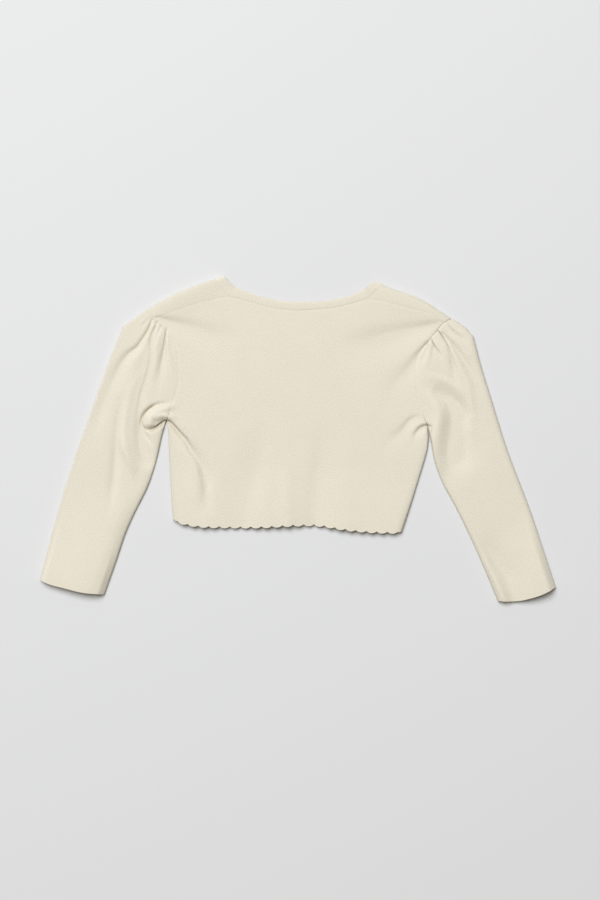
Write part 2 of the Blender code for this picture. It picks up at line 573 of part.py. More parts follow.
def make_sleeve(collection, side):
    along = np.linspace(0.0, 1.0, SLEEVE_CELLS + 1) ** SECTION_POWER
    outer, inner = (smooth(line) for line in (side.outer_fold, side.inner_fold))
    outer, inner = (at(line, along * distances(line)[-1]) for line in (outer, inner))
    cuff_line = smooth(side.cuff)

    # The upper ring runs along the short fold strip first, then down the back armhole.
    seam = back_armhole(side)[::-1]
    strip = divided(np.array([side.armhole_front[0], side.armhole_back[0]], float), 1, first=ROLL)
    gathers = seam[:GATHERED_CELLS + 1]
    plain = seam[GATHERED_CELLS:-2]
    upper_ring = chain(strip, divided(gathers, GATHERED_CELLS * GATHER_FINENESS),
                       divided(plain, (len(plain) - 1) * PLAIN_FINENESS), seam[-3:])
    lower_ring = front_armhole(side)[::-1]

    halves = []
    for ring in (upper_ring, lower_ring):
        cuff = divided(cuff_line, len(ring) - 5, first=ROLL, last=ROLL)
        points = sleeve_half(ring, cuff, outer, inner)
        turn = np.minimum(rounding(points, points[:, 0]),
                          rounding(points, points[:, -1], underarm=points[0, -1]))
        if ring is upper_ring:
            down = distances(points[:, -1])
            loft = np.interp(down / down[-1], [row.along for row in SLEEVE_LOFT],
                             [row.height for row in SLEEVE_LOFT])
            across = distances(cuff) / distances(cuff)[-1]
            fullness = (4 * across * (1 - across)) ** LOFT_FULLNESS
            to_cuff = down[-1] - down
            heights = upper_level(points, loft[:, None] * fullness + lifted(to_cuff)[:, None])
        else:
            heights = np.full(points.shape[:2], LOWER)
        heights = between(FOLDED_EDGE, heights, turn)
        heights[1] = heights[0]
        halves.append(raised(points, heights))
    upper, lower = halves
    lower[:, 0] = upper[:, 0]
    return cloth(collection, "sleeve_" + side.name,
                 np.concatenate([upper, lower[:, -2::-1]], axis=1))


# ---- Bands -------------------------------------------------------------------------------------

def front_edge(side):
    """From the hem to the shoulder fold, where a front meets its band."""
    cells = SIDE_CELLS + ARMHOLE_CELLS + 1
    return divided(smooth(side.front_edge), cells, last=ROLL)


def band_over_fold(side, other, corner):
    """A band's seam edge and free edge, from the back over the shoulder fold to the hem."""
    edge = front_points(side)[::-1, -1, :2]
    above, below = edge[:STRIP_ROWS + 1], edge[STRIP_ROWS:]
    away = inward(below, front_points(other)[::-1, -1, :2][STRIP_ROWS:])
    free_fold = side.band_fold + BAND_WALL / 2 * unit(corner - side.band_fold)
    join = np.array(side.shoulder_seam[-1])

    seam_above = above + SEAM_GAP * inward(above, corner)
    seam_below = below + SEAM_GAP * away
    seam_above[0] = join + SEAM_GAP * unit(corner - join)
    seam_below[0] = below[0] + SEAM_GAP * unit(free_fold - below[0])
    up = distances(seam_above)[:, None]
    down = distances(seam_below)[:, None]
    free_above = between(corner, free_fold, up / up[-1])
    free_below = seam_below + BAND_WIDTH * away
    free_below += (free_fold - free_below[0]) * np.exp(-down / BAND_SETTLING)
    for line in (seam_below, free_below):
        run = ROLL * unit(line[3] - line[0])
        line[1:3] = line[0] + ROLL_STOP * run, line[0] + run

    seam = np.vstack([seam_above[:-1], seam_below])
    free = np.vstack([free_above[:-1], free_below])
    points = np.stack([seam, free])
    level = band_level(points)
    level[:, STRIP_ROWS:] = BAND_WALL / 2
    turn = rounding(points, points[:, STRIP_ROWS])
    return raised(points, between(FOLDED_EDGE, level, turn))


def band_level(points):
    """Height of the middle of a band on the upper layer."""
    return np.maximum(upper_level(points), BAND_WALL / 2)


def drawn_back(points, first=False, last=False):
    """Draw back the ends of a band where another one is joined on."""
    points = points.copy()
    if first:
        points[:, 0] += SEAM_GAP / 2 * unit(points[:, 1] - points[:, 0])
    if last:
        points[:, -1] += SEAM_GAP / 2 * unit(points[:, -2] - points[:, -1])
    return points


def make_bands(collection):
    seam = divided(smooth(BACK_NECK), NECK_CELLS)
    free = divided(smooth(BAND_EDGE), NECK_CELLS)
    seam = seam + SEAM_GAP / 2 * inward(seam, free)
    left = band_over_fold(LEFT, RIGHT, free[0])
    right = band_over_fold(RIGHT, LEFT, free[-1])
    seam[0] = left[0, 0, :2]
    neck = np.stack([seam, free])
    neck = raised(neck, band_level(neck))
    join = STRIP_ROWS + 2 + JOIN_BELOW_FOLD
    back = np.concatenate([neck[:, :-1], right[:, :join + 1]], axis=1)
    cloth(collection, "neck_band_back", drawn_back(back, first=True, last=True), wall=BAND_WALL)
    cloth(collection, "front_band_left", drawn_back(left, first=True), wall=BAND_WALL)
    cloth(collection, "front_band_right", drawn_back(right[:, join:], first=True), wall=BAND_WALL)


def build():
    for thing in list(bpy.data.objects):
        bpy.data.objects.remove(thing)
    collection = bpy.data.collections.new("cardigan")
    bpy.context.scene.collection.children.link(collection)
    make_back(collection)
    for side in (LEFT, RIGHT):
        make_front(collection, side)
        make_sleeve(collection, side)
    make_bands(collection)


build()
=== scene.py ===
"""The child's cream cardigan as cloth, laid flat on its face on a pale board.

The tables and the seam lines are those of the CAD source, in millimetres: X runs across the
shoulders, Y from the hem to the neck, Z up. Each piece is knitted cloth of its own, on the
plan of its solid but with finer cells, deeper folds and a softer edge, and it stands for that
solid. "Left" and "right" are the wearer's: the left sleeve is at -X.
"""

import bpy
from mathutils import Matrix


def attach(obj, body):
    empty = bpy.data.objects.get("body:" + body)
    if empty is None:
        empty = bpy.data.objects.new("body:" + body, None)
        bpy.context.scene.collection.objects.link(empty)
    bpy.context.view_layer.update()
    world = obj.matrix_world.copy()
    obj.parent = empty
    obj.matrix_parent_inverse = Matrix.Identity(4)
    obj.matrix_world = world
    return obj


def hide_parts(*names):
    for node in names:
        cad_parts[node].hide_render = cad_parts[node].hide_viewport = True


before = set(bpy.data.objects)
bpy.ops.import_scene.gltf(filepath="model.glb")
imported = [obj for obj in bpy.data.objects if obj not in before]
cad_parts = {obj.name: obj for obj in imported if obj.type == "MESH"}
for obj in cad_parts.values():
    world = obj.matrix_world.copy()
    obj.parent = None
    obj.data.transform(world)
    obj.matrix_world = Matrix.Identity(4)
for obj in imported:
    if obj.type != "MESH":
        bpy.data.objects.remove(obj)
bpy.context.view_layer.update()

from collections import namedtuple
import math

import bpy
import numpy as np
from mathutils import Vector

MM = 0.001
ORIGIN = np.array([-0.17, 0.93, 0.0])   # the middle of the outline, in the tables

# The cloth.
WALL = 1.2                 # thickness of the knit
BAND_WALL = 1.7            # thickness of the double band
BAND_WIDTH = 7.9
SEAM_GAP = 0.02            # clear space where two pieces are joined, closer than in the solids
BAND_SETTLING = 15.0       # length in which the band takes its width below the shoulder fold

# How the two layers lie.
LOWER = WALL / 2           # height of the middle of the lower layer
UPPER = 4.0                # the same for the upper layer, where it lies flat
FOLDED_EDGE = 1.35         # height of the middle of the wall where it folds
ROLL = 1.3                 # radius in which a folded edge rounds over
ROLL_STOP = 0.29           # place of the point between its two ends, as a share
LOWEST = 1.95              # the middle of the upper layer goes no lower
LOWEST_SOFTNESS = 0.25
HEM_LIFT = 2.0             # how far the back's hem stands up
CUFF_LIFTS = {"left": (2.2, 2.6), "right": (6.0, 2.6)}   # of a cuff's upper half, at its two folds
CUFF_CORNERS = {"left": 0.09, "right": 0.14}   # share of a cuff in which it falls to a fold
LIFT_LENGTH = 60.0         # how far up the cloth a raised hem or cuff is felt
UNDERARM_ROLL = 4.6        # the wider radius at the underarm, where four walls come together
UNDERARM_REACH = 9.0       # how far that is felt down the folds
FOLD_LEAN = 0.3            # extra gap where the armhole crosses the shoulder fold at a slant
FOLD_LEAN_LENGTH = 2.6     # how far down the armhole that is felt
NECK_SAG = 0.5             # how far the back sinks into the opening of the front's neck
SAG_LENGTH = 55.0          # distance from the front's neckline in which it sinks
NECK_BOTTOM = 75.0         # the front edges above this height are the neckline
SIDE_SEAM_GAP = 1.0        # between the middles of the walls where the side folds meet

# The softer edge of the cloth.
TIGHT_EDGE = 1.4           # the upper layer rounds over a fold in this width
ROUND_EDGE = 8.5           # the same where the fold is full
OUTER_EDGE = 6.0           # the same on the outside of the right sleeve
SLEEVE_EDGES = {"left": (TIGHT_EDGE, ROUND_EDGE), "right": (OUTER_EDGE, TIGHT_EDGE)}
UNDERARM_EDGE = 1.6        # the same at an underarm
EDGE_QUICK = 0.35          # share of the rise that is made within the radius of the folded edge
SEAM_DIP = 0.20            # depth of the groove along a seam
SEAM_DIP_WIDTH = 1.1

# The scalloped hem.
SCALLOPS = 21              # whole scallops across the back
FRONT_SCALLOPS = 10
SCALLOP_DEPTH = 2.1
FIRST_CUSP, LAST_CUSP = 5.6, 4.3   # from the back's corners to its outermost cusps
SCALLOP_REACH = 5.0        # how far up the cloth the scallops are felt

# Cells of the plan grids, as in the solids.
SIDE_CELLS = 9             # hem to underarm
ARMHOLE_CELLS = 11
SHOULDER_CELLS = 5
NECK_CELLS = 13
SLEEVE_CELLS = 19
SEAM_LANDING = 1.3         # width along an armhole in which a sleeve stays level with the seam
RING_REACH = 150.0         # how far down a sleeve the curve of its armhole is felt
GATHERED_CELLS = 4         # armhole cells that hold the gathers of the sleeve cap
GATHER_FINENESS = 4        # ring points to each of those cells
PLAIN_FINENESS = 2         # ring points to each of the others
SECTION_POWER = 1.25       # crowds the sleeve's sections towards its cap
JOIN_BELOW_FOLD = 3        # cells from the right shoulder fold to the hidden join of the band
STRIP_ROWS = 4             # rows of a front's strip between the shoulder fold and its seam

# The plan cells in which an end rounds over, and how many cells each is cut into.
ROUNDED_CELLS = 2
ROUNDED_FINENESS = (4, 3)  # from the fold on
BAND_FINENESS = 4

# Sizes of the cells that the others are cut into.
TOP_CELL = 1.15            # for cloth that shows
WIDE_CELL = 1.5            # for the smooth parts of the back
SLEEVE_CELL = 1.725        # down a sleeve, below its cap
CAP_CELL = 0.92            # for the gathered part of a sleeve and beside the underarms
CAP_ROWS = 13              # plan rows of a sleeve that are cut so fine
FINE_COLUMNS = 6           # plan columns at each side of the back that are cut so fine
FINE_ROWS = slice(SIDE_CELLS - 4, SIDE_CELLS + 3)   # and its plan rows near the underarms
HIDDEN_CELL = 2.3          # for the layer underneath
BAND_CELL = 1.3
BAND_ROWS = 10             # cells across a band
BAND_CROWN = 0.35          # how much thinner a band is at its edges

# How far the folds are felt.
FOLD_STEPS = 4             # points on a fold's line to each knot
FOLD_REACH = 3.2           # widths within which a fold is felt
LEAN_REACH = 6.0           # how far from a fold its lean is felt
LEAN_MOST = 1.6            # cloth that stands this much higher than the rest leans no further

# Each line is a table of x, y. Both pieces at a seam are made from the same line.
Side = namedtuple("Side", "name side_fold armhole_back armhole_front outer_fold inner_fold "
                          "cuff shoulder_seam shoulder_fold front_edge front_hem band_fold")

LEFT = Side(
    name="left",
    side_fold=[(-131.2, -83.0), (-132.8, -58.3), (-134.4, -32.0), (-135.7, -0.5), (-136.2, 12.0),
               (-137.8, 20.5)],
    armhole_back=[(-149.6, 127.3), (-138.3, 115.0), (-132.7, 106.6), (-128.3, 98.7),
                  (-126.0, 86.6), (-125.6, 69.8), (-126.6, 54.1), (-130.7, 41.5), (-137.8, 20.5)],
    armhole_front=[(-159.1, 136.0), (-141.8, 119.2), (-128.1, 99.2), (-120.8, 77.2),
                   (-120.2, 56.2), (-126.0, 36.2), (-137.8, 20.5)],
    outer_fold=[(-159.1, 136.0), (-165.5, 131.2), (-172.0, 126.4), (-182.6, 119.3), (-185.0, 116.4),
                (-187.0, 109.8), (-192.6, 96.1), (-215.8, 33.1), (-249.4, -67.7), (-263.0, -118.1),
                (-270.7, -146.8)],
    inner_fold=[(-137.8, 20.5), (-141.8, 7.9), (-148.6, -21.5), (-157.5, -48.8), (-170.1, -74.0),
                (-178.5, -91.9), (-191.6, -129.7), (-203.2, -162.4)],
    cuff=[(-270.7, -146.8), (-263.0, -150.5), (-244.7, -155.6), (-226.2, -160.1), (-203.2, -162.4)],
    shoulder_seam=[(-149.6, 127.3), (-121.5, 137.3), (-107.4, 142.3), (-94.7, 145.7),
                   (-73.5, 150.0)],
    shoulder_fold=[(-159.1, 136.0), (-140.7, 146.5), (-128.1, 152.8), (-98.7, 164.3),
                   (-86.6, 168.3)],
    front_edge=[(-19.6, -87.0), (-14.0, -0.5), (-12.4, 26.0), (-11.4, 48.0), (-12.0, 58.0),
                (-14.6, 69.0), (-22.0, 78.8), (-37.8, 86.6), (-58.8, 101.3), (-74.6, 123.4),
                (-83.0, 146.5), (-86.6, 168.3)],
    front_hem=[(-131.2, -83.0), (-100.0, -87.2), (-60.0, -87.9), (-19.6, -87.0)],
    band_fold=(-79.0, 171.5),
)
RIGHT = Side(
    name="right",
    side_fold=[(108.8, -96.6), (119.9, -62.9), (127.1, -39.4), (133.6, -17.9), (137.0, -3.0),
               (135.7, 14.7)],
    armhole_back=[(152.0, 122.0), (147.5, 115.7), (138.6, 105.5), (124.7, 86.1), (123.1, 74.0),
                  (123.9, 57.2), (126.8, 39.4), (131.6, 24.7), (135.7, 14.7)],
    armhole_front=[(160.2, 127.3), (144.9, 110.8), (131.2, 91.9), (121.3, 70.9), (118.7, 49.9),
                   (122.9, 31.0), (135.7, 14.7)],
    outer_fold=[(160.2, 127.3), (171.2, 121.3), (178.5, 115.0), (184.3, 107.6), (188.0, 91.9),
                (203.7, 39.4), (217.4, -4.7), (245.7, -80.3), (258.3, -118.1), (270.4, -154.6)],
    inner_fold=[(135.7, 14.7), (139.6, -3.0), (141.8, -17.3), (150.2, -42.5), (163.8, -67.7),
                (188.0, -118.1), (209.4, -169.0)],
    cuff=[(270.4, -154.6), (254.8, -162.6), (243.6, -166.4), (232.7, -169.1), (221.6, -169.8),
          (209.4, -169.0)],
    shoulder_seam=[(152.0, 122.0), (138.6, 131.5), (123.9, 135.8), (107.1, 140.4), (88.6, 145.0),
                   (72.5, 147.3)],
    shoulder_fold=[(160.2, 127.3), (150.2, 133.9), (130.2, 146.5), (96.6, 159.1), (88.2, 162.6)],
    front_edge=[(-2.2, -87.0), (3.4, -0.5), (5.0, 26.0), (6.3, 48.0), (7.3, 58.0), (10.2, 67.6),
                (19.4, 77.2), (37.8, 85.1), (60.9, 99.2), (76.7, 120.2), (85.1, 142.3),
                (88.2, 162.6)],
    front_hem=[(108.8, -96.6), (80.0, -93.4), (40.0, -89.4), (-2.2, -87.0)],
    band_fold=(80.4, 166.4),
)
BACK_HEM = [(-131.2, -83.0), (-125.6, -85.6), (-104.2, -90.1), (-81.2, -90.9), (-36.1, -90.9),
            (-3.2, -89.1), (18.2, -88.9), (50.4, -93.7), (83.9, -96.4), (108.8, -96.6)]
BACK_NECK = [(-73.5, 150.0), (-58.8, 147.1), (-44.1, 142.3), (-27.9, 138.4), (-11.9, 136.0),
             (4.2, 135.7), (17.9, 136.4), (42.0, 139.1), (57.8, 143.3), (72.5, 147.3)]
BAND_EDGE = [(-66.8, 159.4), (-49.4, 153.1), (-35.7, 149.1), (-17.2, 144.7), (1.6, 144.0),
             (24.2, 144.4), (37.8, 146.5), (51.1, 149.6), (64.5, 154.5), (71.2, 159.0)]


def between(low, high, share):
    return low + (high - low) * share


# Folds of the upper layer: smooth lines of knots, each with the height there (below zero a
# trough), the half width of the fold on the left and on the right of that line, and how far
# the cloth on the left leans over the line.
Knot = namedtuple("Knot", "x y height left right lean")


def knot(x, y, height, left, right=None, lean=0.0):
    """A knot of a fold. One width is that on both sides."""
    return Knot(x, y, height, left, left if right is None else right, lean)


FOLDS = [[knot(*row) for row in fold] for fold in (
    # Gathers and folds of the left sleeve.
    [(-153.3, 125.3, -1.2, 1.5, 1, 0.3), (-156.5, 116.5, -1.9, 2.2, 1.4, 0.4),
     (-162.1, 106.1, -2.1, 3.2, 2, 0.3), (-168.7, 96.7, -2.2, 4.2, 2.6, 0.2),
     (-178.1, 89.1, -2.2, 5.5, 3.4), (-183.8, 81.6, -2, 6.5, 4.2), (-189.5, 70.3, -1.8, 8, 5),
     (-195.1, 57.1, -1.4, 9, 6), (-200.8, 40.1, -1, 10, 7), (-204.5, 25.0, -0.6, 11, 8),
     (-207.4, 6.2, 0, 12, 9)],
    [(-150.8, 119.3, 0.8, 1.6), (-155.5, 109.9, 0.9, 2.5), (-162.1, 98.5, 0.6, 3.5),
     (-168.7, 85.4, 0.5, 5), (-174.4, 70.3, 0.5, 6), (-178.1, 51.4, 0.5, 6)],
    [(-148.0, 122.7, -0.8, 2, 0.9), (-150.3, 116.5, -1.1, 2.4, 1), (-153.3, 110.8, -1, 3, 1.2),
     (-154.8, 102.3, -0.8, 3.4, 1.2), (-154.6, 91.0, -0.6, 4, 1.4), (-155.2, 81.6, -0.6, 4.4, 1.6),
     (-157.0, 73.1, -0.7, 5, 1.4), (-160.2, 62.7, -0.7, 5.5, 1.5), (-163.8, 51.4, -0.8, 6, 1.7),
     (-166.5, 38.2, -0.9, 6, 2), (-167.6, 21.3, -1.5, 6, 3.4), (-165.7, 6.2, -3, 6),
     (-162.3, -7.0, -4.2, 5.5, 7.5), (-158.2, -19.3, -4, 5.5, 7.5), (-154.4, -29.6, -1.2, 6, 7),
     (-151.4, -40.0, -0.1, 6)],
    [(-167.8, 66.5, 0.3, 3), (-174.4, 51.4, 0.7, 4), (-179.7, 28.8, 1, 4.5),
     (-183.4, 7.1, 1.7, 5.5, 4.5), (-181.5, -8.9, 2.7, 6.5, 4.5), (-176.3, -23.0, 2.3, 6.2, 4.5),
     (-171.7, -37.2, 0.3, 5)],
    [(-143.8, 118.7, -1, 1), (-146.5, 111.2, -0.3, 1.4)],
    [(-138.4, 115.1, -1.3, 1.6, 0.8, 0.3), (-139.3, 106.1, -1.9, 1.9, 1.2, 0.4),
     (-140.8, 94.8, -2, 2.6, 1.7, 0.2), (-142.0, 85.4, -1.9, 3.8, 2.6),
     (-143.8, 75.9, -1.6, 5, 3.4), (-145.5, 64.6, -1, 6, 4.4), (-147.0, 51.4, -0.2, 7, 5)],
    [(-144.2, 109.9, 0.6, 1.6), (-148.0, 96.7, 0.9, 2.6), (-148.9, 81.6, 0.7, 3.2),
     (-150.8, 68.4, 0.2, 4)],
    [(-136.3, 109.9, 0.4, 1.4), (-136.3, 98.5, 0.8, 1.8), (-134.4, 85.4, 0.7, 2.6),
     (-132.0, 72.2, 0.4, 3.5), (-131.4, 57.1, 0.1, 4)],
    [(-155.9, 126.8, -0.5, 0.9), (-160.2, 122.1, -0.6, 1.1), (-164.0, 118.3, -0.2, 1.2)],
    [(-186.5, 40.7, -0.5, 5), (-188.9, 11.8, -1.5, 5), (-191.3, -19.5, -2, 5),
     (-194.2, -48.4, -1.6, 5), (-197.6, -74.9, -0.4, 6)],
    [(-203.7, 46.3, -0.3, 6), (-209.1, 24.6, -0.8, 6), (-212.7, -0.7, -0.4, 7)],
    [(-177.8, -52.3, 0.4, 10, 20), (-189.9, -82.1, 2, 11, 30), (-205.8, -120.6, 3.1, 13, 38),
     (-220.7, -156.8, 3.1, 14, 40)],
    # The curl at the left underarm, and its crease down the back.
    [(-136.3, 38.2, -0.4, 1.4, 1.8), (-146.1, 37.1, -1.2, 1.4, 1.8, 0.2),
     (-153.3, 34.1, -2.4, 1.3, 2, 0.6), (-158.9, 29.2, -3.4, 1.3, 2.2, 0.9),
     (-162.3, 23.5, -3.8, 1.3, 2.2, 1.1), (-163.4, 16.6, -3.8, 1.3, 2.2, 0.9),
     (-161.9, 9.6, -2.8, 1.6, 2.2, 0.3), (-158.4, 3.4, -1.6, 2.4), (-154.4, -2.9, -0.8, 3, 2.6),
     (-150.8, -8.9, -0.1, 3.2, 3)],
    [(-126.3, 36.7, 0.1, 3), (-131.8, 34.8, 0.8, 3.4), (-139.5, 31.4, 2, 3.8),
     (-148.0, 27.3, 2.9, 3.8), (-153.3, 22.2, 3.3, 4), (-154.6, 17.1, 2.8, 3.6)],
    [(-148.7, 22.8, 1.4, 2), (-143.5, 25.2, 2.8, 2), (-137.8, 25.8, 3.2, 2), (-131.4, 23.7, 3, 2),
     (-125.8, 17.9, 2.6, 2.1), (-119.0, 9.6, 2.3, 2.4), (-111.4, -0.4, 1.7, 2.8),
     (-106.2, -11.3, 0.6, 3.4), (-102.8, -22.1, 0.1, 4)],
    [(-162.3, 11.5, -1.6, 2.6, 1.4, 0.3), (-157.4, 10.0, -3, 2.8, 1.3, 0.3),
     (-152.1, 10.3, -4, 2.8, 1.3, 0.4), (-148.0, 13.0, -5, 2, 1.8, 1),
     (-145.4, 16.0, -5.8, 1.6, 2.6, 1.8), (-142.0, 18.6, -6.2, 1.6, 3.4, 2),
     (-137.6, 19.6, -6.4, 1.6, 3.8, 2), (-132.5, 17.9, -6.2, 1.6, 3.4, 2),
     (-128.4, 13.5, -5.2, 1.6, 2.8, 1.7), (-124.2, 7.3, -4.4, 1.9, 2.8, 1.2),
     (-118.2, -0.2, -3.6, 2.5, 3, 0.7), (-114.3, -7.8, -2.7, 3.3, 3.2, 0.25),
     (-111.1, -13.4, -2.2, 4.2, 3.4, 0.05), (-106.9, -19.8, -1.9, 5.5, 3.8),
     (-102.8, -26.2, -1.8, 6.5, 4), (-99.4, -33.4, -1.8, 7, 4.5), (-97.5, -41.9, -1.8, 7, 5),
     (-96.2, -51.3, -2, 5.2, 5.4), (-96.0, -59.8, -1.7, 5.4, 6), (-95.2, -71.1, -1, 6, 7),
     (-94.5, -80.9, -0.3, 6, 7)],
    [(-123.5, -1.7, 0.2, 2.4, 5), (-117.8, -9.3, 1, 2.8, 7), (-112.0, -18.3, 1.5, 3.2, 8),
     (-107.3, -29.2, 1.8, 3.8, 9), (-104.8, -41.7, 1.6, 4.2, 9), (-103.3, -54.1, 1.1, 5, 9),
     (-102.4, -67.3, 0.3, 6, 8)],
    # Gathers and folds of the right sleeve.
    [(147.5, 113.7, -1.4, 0.9, 1.2, 0.5), (150.7, 109.6, -2.1, 1, 1.4, 0.7),
     (154.8, 103.2, -2.1, 1.1, 1.7, 0.6), (158.7, 95.4, -1.8, 1.3, 2.2, 0.4),
     (161.7, 84.4, -1.6, 1.6, 3, 0.2), (163.8, 74.1, -1.3, 2.2, 4.2), (165.1, 65.0, -0.8, 3, 5),
     (166.1, 57.0, -0.1, 4, 6)],
    [(152.6, 111.9, -1, 1.2, 1.6, 0.2), (158.0, 105.0, -1.8, 1.8, 2.2, 0.3),
     (164.0, 97.0, -2, 2.4, 3), (170.2, 88.5, -1.8, 3, 3.6), (176.4, 79.4, -1.8, 3.6, 4.4),
     (182.8, 69.5, -1.4, 4, 5), (189.6, 59.2, -0.8, 5, 6), (194.7, 48.9, -0.2, 6, 7)],
    [(158.7, 100.9, 0.6, 1.3), (164.5, 87.8, 1, 2.2), (170.9, 74.1, 1.2, 3.2),
     (177.0, 59.2, 1.3, 4), (180.5, 43.2, 1.3, 4.5), (181.6, 24.9, 1, 5), (181.6, 2.0, 0.6, 6),
     (182.8, -20.9, 0.2, 7)],
    [(156.2, 121.9, -0.8, 0.9, 0.9, 0.2), (162.2, 114.6, -1.3, 1.1, 1.1, 0.3),
     (169.0, 108.4, -1.1, 1.3), (175.9, 102.3, -0.3, 1.6)],
    [(159.2, 123.3, -0.3, 0.8), (165.6, 117.4, -0.5, 0.9), (171.3, 113.0, -0.1, 1)],
    [(153.0, 118.7, 0.3, 1.2), (161.0, 109.6, 0.5, 1.5), (169.0, 100.4, 0.6, 2),
     (178.2, 89.0, 0.4, 3)],
    [(140.2, 104.6, -1.6, 0.9, 1.2, 0.4), (143.4, 98.1, -1.9, 1.1, 1.4, 0.4),
     (147.3, 91.7, -1.3, 1.4, 1.6), (150.7, 86.2, -0.3, 1.8)],
    [(141.3, 96.3, -0.8, 0.9), (142.7, 86.7, -0.2, 1.2)],
    [(136.5, 100.0, -1.3, 1, 1, 0.2), (133.8, 91.7, -1.3, 1.3), (130.1, 82.1, -0.5, 1.8)],
    [(138.4, 99.3, 0.5, 1), (137.4, 89.0, 0.6, 1.6), (134.7, 77.5, 0.2, 2.4)],
    [(145.0, 102.3, 0.5, 1.2), (149.6, 93.6, 0.7, 1.8), (155.3, 83.3, 0.6, 3),
     (157.6, 70.7, 0.3, 4)],
    [(140.7, 53.7, -0.8, 7, 6), (146.6, 49.6, -2.4, 9, 7), (154.4, 44.1, -3.6, 10, 7),
     (163.1, 36.4, -4.2, 10, 7), (171.8, 27.2, -3.2, 9, 7), (177.3, 18.5, -0.8, 8, 6)],
    [(155.3, 38.6, -0.4, 9, 5), (160.3, 30.6, -2, 12, 7), (163.8, 19.9, -3.4, 14, 9),
     (165.1, 7.7, -3.8, 17, 12), (165.4, -6.0, -4.2, 19, 15), (163.3, -19.0, -3.8, 19, 15),
     (161.2, -28.9, -2.2, 17, 11), (159.4, -39.2, -0.9, 15, 8), (158.0, -50.6, -0.1, 12, 6)],
    [(134.7, 47.8, 0.6, 5), (142.9, 37.5, 1.9, 6), (147.1, 24.9, 2.7, 6.5),
     (145.7, 11.2, 2.9, 8, 6), (143.9, -1.4, 3, 9, 6), (144.8, -14.0, 2.7, 9, 6),
     (147.1, -26.6, 1.3, 8, 4), (148.9, -38.7, 0.1, 6, 4)],
    [(139.3, 66.1, 0.3, 4), (148.4, 62.9, 0.6, 4), (158.7, 58.8, 0.7, 4), (169.0, 50.1, 1, 4),
     (174.8, 38.6, 0.2, 4)],
    [(171.4, -77.3, 0.2, 3, 1.6), (182.9, -99.9, 0.7, 3.4, 1.6), (192.5, -116.8, 1.2, 3.6, 1.7),
     (202.2, -140.9, 1.7, 4, 1.8), (208.0, -153.4, 1.7, 4, 2), (213.7, -167.9, 1.4, 4, 2.2)],
    [(181.9, -84.5, -0.1, 10, 5.5), (194.5, -106.2, -0.8, 12, 6), (206.0, -124.5, -3, 14, 6.5),
     (217.1, -140.9, -4.6, 15, 7.5), (222.9, -153.4, -4.6, 15, 8), (227.2, -167.9, -4.4, 15, 8)],
    # Beside the right armhole and under it.
    [(136.5, 102.3, -1.4, 1.6, 1.6, 0.3), (129.4, 93.6, -1.9, 4, 2.8, 0.2),
     (123.0, 84.0, -1.9, 7, 4.4), (115.9, 73.4, -1.7, 10, 6.4), (108.2, 63.8, -1.3, 13, 8.5),
     (100.4, 54.2, -0.7, 14, 9), (93.5, 44.4, -0.2, 14, 9)],
    [(136.5, 14.4, -3, 3.2, 1.5, 0.6), (131.5, 13.7, -3, 4, 1.6, 0.8),
     (126.9, 10.9, -2.3, 5, 1.9, 0.5), (123.7, 6.1, -1.3, 5.5, 2.2, 0.2),
     (121.4, 0.9, -0.3, 6, 2.6)],
    [(123.3, 24.0, -0.6, 4, 2.2), (116.8, 19.9, -1.3, 5.5, 2.8), (111.8, 13.0, -1.4, 6.5, 3.6),
     (105.4, 5.7, -1.1, 7.5, 4.6), (96.9, -0.3, -0.4, 8, 6)],
    [(131.3, 17.6, 0.6, 2), (126.0, 15.3, 0.6, 2.2), (120.5, 9.3, 0.3, 2.6)],
    # The shoulders: soft troughs from the armholes, and the fold that stands proud.
    [(-148.0, 128.3, -0.7, 1.4, 2.4), (-140.5, 126.1, -1.5, 2.8, 5), (-131.0, 123.0, -2, 4.4, 9),
     (-119.7, 119.3, -2.2, 6.2, 14), (-106.5, 114.8, -2.1, 8, 19), (-91.4, 109.5, -1.6, 10, 23),
     (-76.4, 105.1, -0.9, 11, 25), (-59.4, 100.4, -0.2, 12, 26)],
    [(147.3, 122.9, -0.7, 4, 2.2), (132.4, 118.7, -1.5, 9, 4.6), (116.4, 114.2, -2.1, 14, 7.5),
     (100.4, 109.6, -2.4, 18, 9.5), (84.4, 105.0, -2.3, 21, 11), (68.3, 100.4, -1.8, 23, 12),
     (50.0, 95.9, -0.9, 25, 13), (31.7, 92.4, -0.1, 26, 13)],
    [(-155.2, 130.8, 0.6, 6, 10), (-136.9, 143.3, 1.6, 6, 13), (-115.2, 153.9, 1.8, 6, 14),
     (-96.0, 161.6, 1.6, 6, 13), (-81.5, 166.4, 0.8, 6, 10)],
    [(87.1, 157.7, 0.8, 6, 10), (101.5, 152.9, 1.6, 6, 13), (128.0, 141.4, 1.8, 6, 14),
     (147.3, 129.8, 1.6, 6, 12), (161.7, 119.2, 0.6, 6, 8)],
    [(158.8, 126.0, -0.4, 0.8), (150.6, 119.7, -0.8, 0.9), (145.3, 113.0, -0.8, 0.9),
     (136.7, 102.8, -0.5, 0.9), (128.0, 91.3, -0.1, 1)],
    [(-159.1, 133.2, -0.4, 0.8), (-149.9, 124.0, -0.7, 0.8), (-141.7, 115.4, -0.5, 0.8),
     (-135.9, 105.7, -0.3, 0.9), (-131.1, 93.7, -0.1, 0.9)],
    # Long soft waves down the back.
    [(-34.8, 19.0, -0.3, 14), (-41.5, -14.7, -1.2, 14, 18), (-49.2, -43.6, -1.9, 14, 22),
     (-57.0, -72.5, -2.1, 14, 25), (-60.8, -94.2, -2, 14, 26)],
    [(27.8, 4.6, -0.4, 14, 10), (23.0, -29.1, -1.3, 14, 11), (18.2, -58.0, -1.8, 14, 12),
     (16.3, -82.1, -2.2, 14, 13), (15.3, -96.6, -2.3, 14, 13)],
